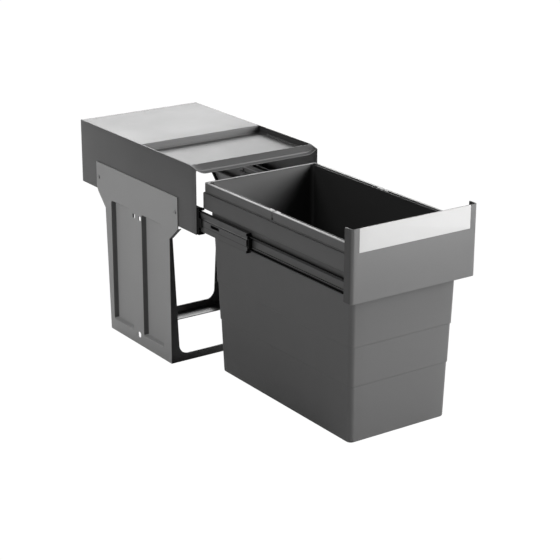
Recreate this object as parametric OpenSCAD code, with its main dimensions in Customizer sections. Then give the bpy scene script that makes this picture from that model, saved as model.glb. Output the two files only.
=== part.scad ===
// Pull-out waste bin unit for a narrow kitchen base cabinet: a steel hood on a steel stand, a drawer on two
// ball-bearing slides and one plastic bin. Millimetres. The drawer is drawn out towards -Y.
// Origin: centre of the four floor screw holes, on the cabinet floor
// +Z is up, +Y is towards the cabinet's back

/* [Hood] */
// Width over the two side skirts
hood_w = 250; // [230:1:300]
// Depth of the hood, which is also the length of its skirts
hood_d = 398.5; // [380:0.5:440]
// Height of the skirts
hood_h = 117.4; // [112:0.2:140]
// Height of the hood's top above the cabinet floor
hood_top = 380; // [376:1:440]
// Thickness of the hood's sheet
hood_t = 1.2; // [0.8:0.1:1.5]
// Depth of the recessed tray from the hood's front edge
tray_d = 178; // [120:1:220]
// How far the tray floor lies below the hood's top
tray_drop = 14; // [10:0.5:16]
// Distance of the tray's front crest from the hood's front edge
crest_run = 20; // [12:1:26]
// How far the front lip lies below the crest
lip_drop = 13; // [8:0.5:16]
// Height of the flange that hangs at the hood's back
rear_flange_h = 16; // [8:1:18]
// Thickness of the tray liner
liner_t = 1.5; // [1:0.1:2.5]
// Height of the bead round the tray liner
liner_bead_h = 3.5; // [2.5:0.1:5]
// Width of the bead round the tray liner
liner_bead_w = 1.8; // [1.5:0.1:3]

/* [Stand] */
// Depth of the stand between its two frames, over both
stand_d = 216; // [200:1:230]
// Distance from the hood's front edge to the front frame
stand_setback = 86; // [80:1:100]
// Thickness of the stand's sheet
stand_t = 1.5; // [1:0.1:2]
// Height of the upper edge of the side panels
side_top = 314; // [311:1:320]
// Height where the panel's rear sloped edge ends at the skirt
side_wide_z = 262.5; // [258:0.5:264]
// Height where the panel's front sloped edge ends
side_front_z = 257; // [250:0.5:262]
// Height where the panel's sloped edges begin
side_narrow_z = 233; // [220:1:240]
// Overhang of the wide part of the panel past the front frame
side_front_reach = 28; // [20:1:32]
// Overhang of the wide part of the panel past the rear frame
side_rear_reach = 39; // [30:1:45]
// Slope of the panel's rear edge, from its foot to the sloped edge
side_rear_lean = 9; // [0:1:12]
// Width of the inward flange on the sloped edges
side_flange_w = 6.5; // [5:0.5:12]
// Depth of the two pressed recesses
recess_depth = 8; // [4:0.5:9]
// How far the flanks of a recess run in on their way down
recess_run = 3; // [2:0.5:7]
// Width of each pressed recess
recess_w = 70; // [60:1:74]
// Height of the lower end of the recesses
recess_z0 = 22; // [18:1:40]
// Height of the upper end of the recesses
recess_z1 = 252; // [200:1:256]
// Width of the plain land between the two recesses
recess_gap = 38; // [34:1:44]
// Distance from the front frame to the first recess
recess_setback = 25.5; // [20:0.5:27]
// Side of the two square holes
square_hole = 8; // [6:0.5:9]
// Diameter of the round hole near the panel's foot
foot_hole_d = 11.5; // [6:0.5:12]
// Height of the bar across the foot of each frame
bar_h = 14; // [10:1:18]
// Depth of the rear frame's flange that lies on the cabinet floor
base_flange_d = 35; // [25:1:45]
// Depth of the front frame's flange that lies on the cabinet floor
front_flange_d = 28; // [22:1:40]
// Width of a frame's upright at its foot, in front
front_upright_foot = 15; // [12:0.5:18]
// Width of a frame's upright at its top, in front
front_upright_top = 5; // [3:0.5:8]
// Width of a frame's upright at its foot, at the back
rear_upright_foot = 23.5; // [16:0.5:26]
// Width of a frame's upright at its top, at the back
rear_upright_top = 13; // [8:0.5:16]
// Radius of the lower corners of the frames' windows
window_r = 18; // [10:1:24]
// Distance of the floor screw holes from the sides of the stand
floor_hole_inset = 45; // [35:1:60]
// Diameter of the floor screw holes
floor_hole_d = 5; // [4:0.5:6]

/* [Slides] */
// Travel of the drawer
travel = 390; // [300:1:392]
// Height of the slide's fixed member
slide_h = 45; // [43:0.5:45.5]
// Thickness of the whole slide
slide_t = 12.7; // [12.5:0.1:14]
// Thickness of the slide's sheet
slide_sheet = 1.2; // [1:0.1:1.3]
// Diameter of the balls between fixed and middle member
outer_ball_d = 5; // [4.7:0.1:5.2]
// Diameter of the balls between middle and drawer member
inner_ball_d = 3.2; // [3:0.1:3.2]
// Running clearance between a ball and its groove
ball_gap = 0.04; // [0.02:0.01:0.08]
// Length of the fixed member
outer_len = 390; // [350:1:392]
// Length of the middle member
middle_len = 380; // [340:1:384]
// Length of the drawer member
inner_len = 368; // [330:1:370]
// Distance from the front panel's back to the drawer member
inner_setback = 10; // [6:1:20]
// Share of the drawer's travel that the middle member makes
middle_share = 0.375; // [0.36:0.005:0.38]
// How far the black bumpers stand out in front of the hood
bumper_reach = 6; // [2:0.5:12]
// How far the guide at mid height of the bumper stands out in front of the hood
guide_reach = 14; // [6:0.5:14.5]
// Length of the ball retainer in the fixed member
outer_cage_len = 180; // [120:1:190]
// Length of the ball retainer in the middle member
inner_cage_len = 100; // [60:1:100]
// Balls along one raceway
balls_per_row = 8; // [4:1:9]

/* [Drawer] */
// Gap between the collar and the hood's inner faces
collar_side_gap = 8.3; // [8:0.1:12]
// Height of the collar's top, on which the bin hangs
collar_top = 338; // [334:1:342]
// Height of the collar's outer band
collar_h = 28.8; // [20:0.2:29]
// Gap between the closed collar and the hood's back edge
collar_back_gap = 14.5; // [12.5:0.5:18]
// Wall of the collar
collar_wall = 2; // [1.5:0.1:3]
// How far the collar reaches forward into the front panel
collar_front_reach = 6; // [2:0.5:8]
// Thickness of the side rails
rail_t = 1.2; // [1:0.1:1.2]
// Height of the side rails' lower edge
rail_z0 = 271; // [266:1:276]

/* [Front panel] */
// How much narrower the front panel is than the hood, on each side
panel_side_inset = 3.5; // [0:0.5:5]
// Height of the front panel
panel_h = 117.5; // [100:0.5:140]
// Height of the front panel's lower edge above the floor
panel_z0 = 265; // [250:1:270]
// Depth of the front panel over its side returns
panel_d = 18; // [14:1:20]
// Wall of the front panel
panel_wall = 2.6; // [2:0.1:3]
// Radius of the panel's upright edges
panel_r = 6; // [3:0.5:12]
// Gap between the closed panel and the hood
panel_gap = 16; // [15:0.5:20]
// Distance of the light strip from the panel's side
strip_side_inset = 14; // [12:0.25:30]
// Height of the light strip
strip_h = 38; // [20:0.5:50]
// Thickness of the light strip
strip_t = 1.2; // [0.8:0.1:1.4]

/* [Bin] */
// Height of the bin's underside above the floor
bin_z0 = 21.8; // [20:0.1:30]
// Distance from the collar's side to the bin's wall at the top
bin_side_gap = 10; // [9.5:0.1:14]
// How much each side and the front lean out up to the rim
bin_lean = 7.5; // [4:0.1:10]
// How much the bin's back leans out up to the rim
bin_back_lean = 17.8; // [10:0.1:24]
// Inset of each step in the bin's wall
bin_step = 1; // [0.4:0.1:1.2]
// Height of the lower step
bin_step_z1 = 117; // [90:1:140]
// Height of the upper step
bin_step_z2 = 183; // [160:1:220]
// Wall of the bin
bin_wall = 2; // [1.5:0.1:2.5]
// Radius of the bin's upright corners
bin_r = 9; // [6:0.5:14]
// Width of the bevel round the bin's foot
bin_foot_bevel = 2.5; // [2:0.5:6]
// How far the hanging rim stands out in front of the bin's wall
rim_front = 5.5; // [4:0.5:8]
// How far the hanging rim stands out behind the bin's wall
rim_back = 4.2; // [4:0.1:8]
// Height of the bails' upper edge above the floor
rim_top = 355; // [352:0.5:358]
// Radius of the outer corners of the hanging rim and of the bails
rim_r = 3; // [2.5:0.5:9]
// Thickness of the bin's hanging rim
rim_t = 2.5; // [2:0.1:3]
// Wall of the carrying bails
bail_wall = 2; // [1.5:0.1:2.5]
// Gap between the two bails at mid side
bail_gap = 1.6; // [1:0.1:4]
// Diameter of the round opening at the foot of that gap
bail_notch_d = 5; // [3:0.5:6]
// Diameter of the bails' pivot pins
bail_pin_d = 4; // [3:0.5:5]

/* [Hidden] */
$fn = 48;

// Fineness of the small corner cylinders that hull() joins
corner_fn = 32;
// Overrun of every cut past the face that it leaves
over = 1;

// Depths, measured along Y from the origin at the stand's centre
stand_y0 = -stand_d / 2;
stand_y1 = stand_d / 2;
hood_y0 = stand_y0 - stand_setback;
hood_y1 = hood_y0 + hood_d;
tray_y1 = hood_y0 + tray_d;
crest_y = hood_y0 + crest_run;

// Heights and half widths of the hood
skirt_z0 = hood_top - hood_h;
tray_z = hood_top - tray_drop;
lip_z = hood_top - lip_drop;
skirt_x = hood_w / 2;
inside_x = skirt_x - hood_t;
side_x = skirt_x + stand_t;

// Slide: u runs from the skirt's inner face towards the drawer, v from the slide's mid height upwards
slide_foot_gap = 1.1;
outer_setback = 2;
slide_z = skirt_z0 + slide_foot_gap + slide_h / 2;
outer_y0 = hood_y0 + outer_setback;
wall_min = slide_sheet;
outer_groove_r = outer_ball_d / 2 + ball_gap;
inner_groove_r = inner_ball_d / 2 + ball_gap;
groove_depth = 0.34;
outer_land_gap = outer_groove_r - groove_depth;
inner_land_gap = inner_groove_r - groove_depth;
outer_half = slide_h / 2;
outer_land = outer_half - wall_min - groove_depth;
outer_ball_v = outer_land - outer_land_gap;
middle_half = outer_ball_v - outer_land_gap;
middle_land = middle_half - wall_min - 2 * groove_depth;
inner_ball_v = middle_land - inner_land_gap;
inner_half = inner_ball_v - inner_land_gap;
inner_land = inner_half - wall_min - groove_depth;
outer_ball_u = 6.6;
inner_ball_u = 8.8;
outer_flange_u = 10.2;
middle_web_u = 2.4;
middle_wing_u = 4.4;
middle_flange_u = 11.2;
middle_web_half = 5.2;
inner_web_half = 7.5;
inner_flange_u = 6.8;
inner_rise = 1.4;
outer_cage_u = 1.5;
inner_cage_gap = 0.2;
inner_cage_u = middle_wing_u + slide_sheet + inner_cage_gap;
cage_sheet = 0.6;
cage_strip = 1;
cage_reach = 0.8;
cage_pocket_gap = 0.1;
ball_pitch_share = 0.7;
bumper_web = 2;
bumper_u = 11.6;
bumper_v = 19.4;
bumper_tongue = 6;
guide_u0 = 0.3;
guide_u1 = 1.9;
guide_v = 8;
stop_rest = 4;
stop_len = 5.5;
stop_cap_t = 1.5;
stop_tongue = 4;
stop_u = 9.6;
stop_v = 8.5;
stop_cap_u = 6.2;
stop_cap_v = 12.6;
long_hole_len = 26;
long_hole_w = 5.2;
long_hole_up = 1;
long_hole_back = 93;
end_hole_d = 5;
end_hole_from_back = 10.6;

// Frames of the stand
floor_hole_x = skirt_x - floor_hole_inset;
floor_hole_y = stand_y1 - base_flange_d / 2;
tab_clear = 0.5;
tab_room = stand_d - recess_setback - 2 * recess_w - recess_gap - 2 * stand_t - tab_clear;
tab_d = max(stand_t, tab_room);
tab_z0 = 20;

// Screws and rivets
screw_shank_d = 4;
screw_clear = 0.1;
screw_head_d = 7;
screw_head_h = 1.4;
screw_drive_d = 3;
panel_screw_in = 1.2;
panel_hole_d = screw_shank_d + screw_clear;
hood_screw_inset = 66;
rivet_d = 4;
rivet_head_d = 6.5;
rivet_head_h = 1;

// Drawer, at its drawn out place
drawer_y = -travel;
bracket_t = 1.5;
collar_x = inside_x - collar_side_gap;
collar_y1 = hood_y1 - collar_back_gap + drawer_y;
panel_back_y = hood_y0 - panel_gap + drawer_y;
panel_y0 = panel_back_y - panel_d;
rail_x = inside_x - slide_t;
inner_y0 = panel_back_y + inner_setback;
rail_y1 = inner_y0 + inner_len;
rail_y0 = panel_y0 + panel_wall + bracket_t;
collar_y0 = panel_back_y - collar_front_reach;
ledge_t = 2.5;
collar_r = 2.5;
collar_z0 = collar_top - collar_h;
bracket_leg = 45;
bracket_foot = 15;
bracket_z0 = 275;
bracket_z1 = 330;
panel_top = panel_z0 + panel_h;
panel_x = skirt_x - panel_side_inset;
strip_x = panel_x - strip_side_inset;

// Bin
rim_inset = 2.2;
rim_x = collar_x - rim_inset;
rim_y1 = collar_y1 - rim_inset;
rim_y0 = collar_y0 + rim_inset;
bin_mid_y = (rim_y0 + rim_y1) / 2;
bail_rise = 1;
bin_top = rim_top - bail_rise;
bin_rim_half = collar_x - bin_side_gap;
bin_front_y = rim_y0 + rim_front;
bin_back_y = rim_y1 - rim_back;
ledge_gap = 1.2;
rim_z = collar_top + rim_t;
bail_top_t = 2;
bail_clear = 0.3;
bail_x0 = bin_rim_half + bail_clear;
bail_y0 = bin_front_y - bail_clear;
bail_y1 = bin_back_y + bail_clear;
bail_pin_from_end = 7;
bail_pin_drop = 8;
bail_pin_z = rim_top - bail_pin_drop;
bail_end_len = 12;
bail_split_shift = 2.5;
bail_split_y = bin_mid_y + bail_split_shift;
bail_notch_z = rim_z + bail_notch_d / 2;
bail_end_cut = 3.5;

// Flat shape with the four corners of a rectangle rounded
module round_rect(x0, x1, y0, y1, r) {
    translate([x0 + r, y0]) square([x1 - x0 - 2 * r, y1 - y0]);
    translate([x0, y0 + r]) square([x1 - x0, y1 - y0 - 2 * r]);
    for (x = [x0 + r, x1 - r], y = [y0 + r, y1 - r]) translate([x, y]) circle(r);
}

// Box from its lowest to its highest corner
module span(a, b) {
    translate(a) cube(b - a);
}

// Both sides of the unit: children are drawn for the right side
module side(left) {
    if (left) mirror([1, 0, 0]) children();
    else children();
}

// Extrudes a flat shape drawn in Y and Z along +X
module along_x(x0, x1) {
    translate([x0, 0, 0]) rotate([90, 0, 90]) linear_extrude(x1 - x0) children();
}

// Extrudes a flat shape drawn in X and Z along +Y
module along_y(y0, y1) {
    translate([0, y1, 0]) rotate([90, 0, 0]) linear_extrude(y1 - y0) children();
}

// Round rod along X on the right side
module rod_x(x0, x1, y, z, d) {
    translate([x0, y, z]) rotate([0, 90, 0]) cylinder(h = x1 - x0, d = d);
}

// Round rod along Y
module rod_y(x, y0, y1, z, d) {
    translate([x, y1, z]) rotate([90, 0, 0]) cylinder(h = y1 - y0, d = d);
}

// Hood: skirts, rear deck with its flange, riser, tray floor, and a front crest that slopes down to the lip
module hood_front_profile() {
    t = hood_t;
    polygon([
        [crest_y + 3 * t, tray_z], [crest_y + t, hood_top], [crest_y, hood_top],
        [hood_y0, lip_z], [hood_y0, lip_z - t], [hood_y0 + t, lip_z - t], [hood_y0 + t, lip_z - t / 2],
        [crest_y + t / 2, hood_top - 2 * t], [crest_y + 2 * t, tray_z - t], [crest_y + 6 * t, tray_z - t],
        [crest_y + 6 * t, tray_z]
    ]);
}
module hood_lip_corner() {
    x1 = skirt_x + over;
    polygon([
        [inside_x - lip_drop, lip_z - hood_t - over], [x1, lip_z - hood_t - over], [x1, hood_top],
        [inside_x, hood_top - hood_t], [inside_x - lip_drop, lip_z - hood_t]
    ]);
}
module hood_cover() {
    color([0.34, 0.34, 0.35]) {
        difference() {
            union() {
                for (s = [false, true]) side(s)
                    span([inside_x, hood_y0, skirt_z0], [skirt_x, hood_y1, hood_top]);
                span([-skirt_x, tray_y1, hood_top - hood_t], [skirt_x, hood_y1, hood_top]);
                span([-skirt_x, hood_y1 - hood_t, hood_top - rear_flange_h], [skirt_x, hood_y1, hood_top]);
                span([-skirt_x, tray_y1, tray_z - hood_t], [skirt_x, tray_y1 + hood_t, hood_top]);
                span([-skirt_x, crest_y + 3 * hood_t, tray_z - hood_t], [skirt_x, tray_y1 + hood_t, tray_z]);
                difference() {
                    along_x(-skirt_x, skirt_x) hood_front_profile();
                    for (s = [false, true]) side(s) along_y(hood_y0 - over, crest_y) hood_lip_corner();
                }
            }
            for (s = [false, true]) side(s) hood_screw_places()
                rod_x(inside_x - over, skirt_x + over, 0, 0, screw_shank_d + screw_clear);
        }
    }
}

// The four places, two on each side, where panel, skirt and slide are held together
module hood_screw_places() {
    for (y = [hood_y0 + hood_screw_inset, hood_y1 - hood_screw_inset]) translate([0, y, slide_z]) children();
}

// Tray liner: thin sheet with a raised bead, lying on the tray floor
module tray_liner() {
    side_gap = 0.6;
    x = inside_x - side_gap;
    y0 = crest_y + 3 * hood_t + side_gap;
    y1 = tray_y1 - side_gap;
    color([0.62, 0.62, 0.63]) difference() {
        span([-x, y0, tray_z], [x, y1, tray_z + liner_bead_h]);
        span([-x + liner_bead_w, y0 + liner_bead_w, tray_z + liner_t],
             [x - liner_bead_w, y1 - liner_bead_w, tray_z + liner_bead_h + over]);
    }
}

// Side panel of the stand, drawn in Y and Z
module side_outline() {
    polygon([
        [stand_y0, 0], [stand_y1, 0], [stand_y1 + side_rear_lean, side_narrow_z],
        [stand_y1 + side_rear_reach, side_wide_z], [stand_y1 + side_rear_reach, side_top],
        [stand_y0 - side_front_reach, side_top], [stand_y0 - side_front_reach, side_front_z],
        [stand_y0, side_narrow_z]
    ]);
}

// Pressed recess: a pan with steep flanks
module recess_solid(y0, grow, x0, x1) {
    far = recess_w - recess_run;
    hull() {
        span([x1, y0 - grow, recess_z0 - grow], [x1 + over, y0 + recess_w + grow, recess_z1 + grow]);
        span([x0, y0 + recess_run - grow, recess_z0 + recess_run - grow],
             [x0 + stand_t / 2, y0 + far + grow, recess_z1 - recess_run + grow]);
    }
}
recess_y0 = stand_y0 + recess_setback;
recess_ys = [recess_y0, recess_y0 + recess_w + recess_gap];
land_y = recess_y0 + recess_w + recess_gap / 2;
square_pitch_share = 0.535;
hole_lead = 2.5;
side_hole_y = land_y - hole_lead;
square_drop = 9;
square_z = recess_z1 - square_drop;
foot_hole_z = 19.5;
module stand_side(left) {
    pan_x = skirt_x - recess_depth;
    color([0.5, 0.5, 0.51]) side(left) {
        difference() {
            union() {
                along_x(skirt_x, side_x) side_outline();
                for (y = recess_ys) intersection() {
                    recess_solid(y, stand_t, pan_x, skirt_x);
                    span([pan_x - over, stand_y0, 0], [side_x, stand_y1, side_top]);
                }
                side_flange(stand_y0, side_narrow_z, stand_y0 - side_front_reach, side_front_z, 1);
                side_flange(stand_y1 + side_rear_lean, side_narrow_z,
                            stand_y1 + side_rear_reach, side_wide_z, -1);
            }
            for (y = recess_ys) recess_solid(y, 0, pan_x + stand_t, side_x);
            for (y = [-1, 1]) translate([0, side_hole_y + y * recess_gap * square_pitch_share / 2, square_z])
                span([skirt_x - over, -square_hole / 2, -square_hole / 2],
                     [side_x + over, square_hole / 2, square_hole / 2]);
            rod_x(skirt_x - over, side_x + over, side_hole_y, foot_hole_z, foot_hole_d);
            hood_screw_places() rod_x(skirt_x - over, side_x + over, 0, 0, screw_shank_d + screw_clear);
        }
    }
}
module stand_side_left() stand_side(true);
module stand_side_right() stand_side(false);

// Inward flange along a sloped edge, from its lower to its upper end
module side_flange(y0, z0, y1, z1, inward) {
    along_x(skirt_x - side_flange_w, skirt_x + stand_t / 2) polygon([
        [y0, z0], [y1, z1], [y1 + inward * stand_t, z1], [y0 + inward * stand_t, z0]
    ]);
}

// Frame across the stand: a sheet with a window that is open at the top, a foot flange and two side tabs
module frame_window(foot, top) {
    x0 = skirt_x - foot;
    x1 = skirt_x - top;
    z0 = bar_h;
    z1 = side_narrow_z;
    polygon([[-x0, z0 + window_r], [x0, z0 + window_r], [x1, z1 + over], [-x1, z1 + over]]);
    translate([-x0 + window_r, z0]) square([2 * (x0 - window_r), window_r + over]);
    for (s = [-1, 1]) translate([s * (x0 - window_r), z0 + window_r]) circle(window_r);
}
module stand_frame(foot, top, tab_dir, y_face, flange_d) {
    y_in = y_face + tab_dir * stand_t;
    ys = [min(y_face, y_in), max(y_face, y_in)];
    flange_end = y_face + tab_dir * flange_d;
    fs = [min(y_face, flange_end), max(y_face, flange_end)];
    tab_end = y_face + tab_dir * (stand_t + tab_d);
    ts = [min(y_face, tab_end), max(y_face, tab_end)];
    color([0.08, 0.08, 0.08]) difference() {
        union() {
            along_y(ys[0], ys[1]) difference() {
                translate([-skirt_x, 0]) square([hood_w, side_narrow_z]);
                frame_window(foot, top);
            }
            span([-skirt_x, fs[0], 0], [skirt_x, fs[1], stand_t]);
            for (s = [false, true]) side(s)
                span([skirt_x - stand_t, ts[0], tab_z0], [skirt_x, ts[1], side_narrow_z]);
        }
        for (s = [-1, 1]) translate([s * floor_hole_x, tab_dir < 0 ? floor_hole_y : -floor_hole_y, -over])
            cylinder(h = stand_t + 2 * over, d = floor_hole_d);
    }
}
module stand_front_frame()
    stand_frame(front_upright_foot, front_upright_top, 1, stand_y0, front_flange_d);
module stand_rear_frame()
    stand_frame(rear_upright_foot, rear_upright_top, -1, stand_y1, base_flange_d);

// Screws through panel, skirt and fixed slide member: flat head outside, closed flush inside
module hood_screws() {
    color([0.45, 0.45, 0.46]) for (s = [false, true]) side(s) hood_screw_places() difference() {
        union() {
            rod_x(inside_x - slide_sheet, side_x, 0, 0, screw_shank_d);
            rod_x(side_x, side_x + screw_head_h, 0, 0, screw_head_d);
        }
        rod_x(side_x + screw_head_h / 2, side_x + screw_head_h + over, 0, 0, screw_drive_d);
    }
}

// Slide members are drawn in u and v, then placed at a side of the drawer
module slide_run(left, y0, y1) {
    side(left) along_y(y0, y1) translate([inside_x, slide_z]) mirror([1, 0]) children();
}

// The two mirrored halves of a slide profile, above and below its mid height
module both_halves() {
    children();
    mirror([0, 1]) children();
}
module outer_profile() {
    difference() {
        union() {
            translate([0, -outer_land - groove_depth]) square([slide_sheet, 2 * (outer_land + groove_depth)]);
            both_halves() translate([0, outer_land]) square([outer_flange_u, outer_half - outer_land]);
        }
        both_halves() translate([outer_ball_u, outer_ball_v]) circle(outer_groove_r);
    }
}
module slide_outer(left) {
    color([0.2, 0.2, 0.21]) difference() {
        slide_run(left, outer_y0, outer_y0 + outer_len) outer_profile();
        side(left) hood_screw_places()
            rod_x(inside_x - slide_sheet - over, inside_x + over, 0, 0, screw_shank_d + screw_clear);
    }
}
module slide_outer_left() slide_outer(true);
module slide_outer_right() slide_outer(false);

// Plastic bumper at the front end of the fixed member, with a guide beside the middle member's web
// and with tongues that sit between the fixed member's flanges
module slide_bumper(left) {
    front = hood_y0 - bumper_reach;
    color([0.04, 0.04, 0.04]) {
        slide_run(left, front, outer_y0) {
            translate([0, -outer_half]) square([bumper_web, slide_h]);
            both_halves() translate([0, bumper_v]) square([bumper_u, outer_half - bumper_v]);
        }
        slide_run(left, hood_y0 - guide_reach, outer_y0)
            translate([guide_u0, -guide_v]) square([guide_u1 - guide_u0, 2 * guide_v]);
        slide_run(left, outer_y0 - over, outer_y0 + bumper_tongue) both_halves()
            translate([bumper_web, bumper_v]) square([outer_flange_u - bumper_web, outer_land - bumper_v]);
    }
}
module slide_bumper_left() slide_bumper(true);
module slide_bumper_right() slide_bumper(false);

// Middle member: raised mid web, joggled wings, flanges with a groove on both faces
module middle_profile() {
    u0 = middle_web_u;
    u1 = middle_wing_u;
    t = slide_sheet;
    difference() {
        union() {
            translate([u0, -middle_web_half]) square([t, 2 * middle_web_half]);
            both_halves() {
                translate([u0, middle_web_half - t]) square([u1 - u0 + t, t]);
                translate([u1, middle_web_half - t]) square([t, middle_half - middle_web_half + t]);
                translate([u1, middle_land]) square([middle_flange_u - u1, middle_half - middle_land]);
            }
        }
        both_halves() {
            translate([outer_ball_u, outer_ball_v]) circle(outer_groove_r);
            translate([inner_ball_u, inner_ball_v]) circle(inner_groove_r);
        }
    }
}
middle_y0 = hood_y0 - stop_rest + stop_len - middle_share * travel;
module slide_middle(left) {
    hole_y = middle_y0 + long_hole_back;
    hole_z = slide_z + long_hole_up;
    half = (long_hole_len - long_hole_w) / 2;
    x0 = inside_x - middle_web_u - slide_sheet - over / 2;
    x1 = inside_x - middle_web_u + over / 2;
    color([0.22, 0.22, 0.23]) difference() {
        slide_run(left, middle_y0, middle_y0 + middle_len) middle_profile();
        side(left) {
            for (y = [hole_y - half, hole_y + half]) rod_x(x0, x1, y, hole_z, long_hole_w);
            span([x0, hole_y - half, hole_z - long_hole_w / 2], [x1, hole_y + half, hole_z + long_hole_w / 2]);
            rod_x(x0, x1, middle_y0 + middle_len - end_hole_from_back, slide_z, end_hole_d);
        }
    }
}
module slide_middle_left() slide_middle(true);
module slide_middle_right() slide_middle(false);

// Black plastic end of the middle member: a body, a thin cap over the profile, and tongues behind it
module middle_stop_cap() {
    translate([middle_wing_u, -middle_half]) square([stop_cap_u - middle_wing_u, 2 * middle_half]);
    both_halves() translate([middle_web_u, stop_cap_v])
        square([middle_flange_u - middle_web_u, middle_half - stop_cap_v]);
}
module middle_stop(left) {
    color([0.03, 0.03, 0.03]) {
        slide_run(left, middle_y0 - stop_len, middle_y0)
            translate([middle_wing_u, -stop_v]) square([stop_u - middle_wing_u, 2 * stop_v]);
        slide_run(left, middle_y0 - stop_cap_t, middle_y0) middle_stop_cap();
        slide_run(left, middle_y0, middle_y0 + stop_tongue) both_halves()
            translate([stop_cap_u, stop_cap_v])
                square([middle_flange_u - stop_cap_u, middle_land - stop_cap_v]);
    }
}
module middle_stop_left() middle_stop(true);
module middle_stop_right() middle_stop(false);

// Ball retainer: a thin web with a strip in each raceway, and a pocket round each ball
module cage_profile(web_u, ball_u, ball_v, ball_d) {
    half = ball_v + cage_strip / 2;
    translate([web_u, -half]) square([cage_sheet, 2 * half]);
    both_halves() translate([web_u, ball_v - cage_strip / 2])
        square([ball_u + ball_d / 2 + cage_reach - web_u, cage_strip]);
}
module ball_places(left, y0, len, ball_u, ball_v) {
    pitch = len * ball_pitch_share / (balls_per_row - 1);
    first = y0 + len * (1 - ball_pitch_share) / 2;
    side(left) for (i = [0 : balls_per_row - 1], s = [-1, 1])
        translate([inside_x - ball_u, first + i * pitch, slide_z + s * ball_v]) children();
}
module cage(left, y0, len, web_u, ball_u, ball_v, ball_d) {
    color([0.1, 0.1, 0.1]) difference() {
        slide_run(left, y0, y0 + len) cage_profile(web_u, ball_u, ball_v, ball_d);
        ball_places(left, y0, len, ball_u, ball_v)
            cylinder(h = 2 * ball_d, r = ball_d / 2 + cage_pocket_gap, center = true);
    }
}
outer_cage_lead = 40;
inner_cage_lead = 14;
outer_cage_y0 = hood_y0 + outer_cage_lead;
inner_cage_y0 = middle_y0 + stop_tongue + inner_cage_lead;
module cage_outer(left)
    cage(left, outer_cage_y0, outer_cage_len, outer_cage_u, outer_ball_u, outer_ball_v, outer_ball_d);
module cage_inner(left)
    cage(left, inner_cage_y0, inner_cage_len, inner_cage_u, inner_ball_u, inner_ball_v, inner_ball_d);
module balls_outer(left) color([0.8, 0.8, 0.82])
    ball_places(left, outer_cage_y0, outer_cage_len, outer_ball_u, outer_ball_v) sphere(d = outer_ball_d);
module balls_inner(left) color([0.8, 0.8, 0.82])
    ball_places(left, inner_cage_y0, inner_cage_len, inner_ball_u, inner_ball_v) sphere(d = inner_ball_d);
module cage_outer_left() cage_outer(true);
module cage_outer_right() cage_outer(false);
module cage_inner_left() cage_inner(true);
module cage_inner_right() cage_inner(false);
module balls_outer_left() balls_outer(true);
module balls_outer_right() balls_outer(false);
module balls_inner_left() balls_inner(true);
module balls_inner_right() balls_inner(false);

// Drawer member: web against the side rail, raised side bands, flanges towards the middle member
module inner_profile() {
    t = slide_sheet;
    u1 = slide_t;
    difference() {
        union() {
            translate([u1 - t, -inner_web_half]) square([t, 2 * inner_web_half]);
            both_halves() {
                translate([u1 - t - inner_rise, inner_web_half - t]) square([t + inner_rise, t]);
                translate([u1 - t - inner_rise, inner_web_half - t])
                    square([t, inner_half - inner_web_half + t]);
                translate([inner_flange_u, inner_land])
                    square([u1 - inner_rise - inner_flange_u, inner_half - inner_land]);
            }
        }
        both_halves() translate([inner_ball_u, inner_ball_v]) circle(inner_groove_r);
    }
}
rail_rivet_shares = [0.13, 0.5, 0.9];
module rail_rivet_places() {
    for (s = rail_rivet_shares) translate([0, inner_y0 + s * inner_len, slide_z]) children();
}
module slide_inner(left) {
    color([0.24, 0.24, 0.25]) difference() {
        slide_run(left, inner_y0, rail_y1) inner_profile();
        side(left) rail_rivet_places()
            rod_x(rail_x - over, rail_x + slide_sheet + over, 0, 0, rivet_d + screw_clear);
    }
}
module slide_inner_left() slide_inner(true);
module slide_inner_right() slide_inner(false);

// Side rail of the drawer: an upright sheet whose upper edge carries the collar
rail_top = collar_top - ledge_t;
module side_rail(left) {
    color([0.26, 0.26, 0.27]) side(left) difference() {
        span([rail_x - rail_t, rail_y0, rail_z0], [rail_x, rail_y1, rail_top]);
        rail_rivet_places() rod_x(rail_x - rail_t - over, rail_x + over, 0, 0, rivet_d + screw_clear);
        bracket_rivet_places() rod_x(rail_x - rail_t - over, rail_x + over, 0, 0, rivet_d + screw_clear);
    }
}
module side_rail_left() side_rail(true);
module side_rail_right() side_rail(false);

// Rivets of the drawer members and of the brackets
module rail_rivets() {
    color([0.4, 0.4, 0.41]) for (s = [false, true]) side(s) {
        rail_rivet_places() {
            rod_x(rail_x - rail_t, rail_x + slide_sheet, 0, 0, rivet_d);
            rod_x(rail_x - rail_t - rivet_head_h, rail_x - rail_t, 0, 0, rivet_head_d);
        }
        bracket_rivet_places() {
            rod_x(rail_x - rail_t - bracket_t, rail_x, 0, 0, rivet_d);
            rod_x(rail_x - rail_t - bracket_t - rivet_head_h, rail_x - rail_t - bracket_t, 0, 0, rivet_head_d);
        }
    }
}

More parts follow.
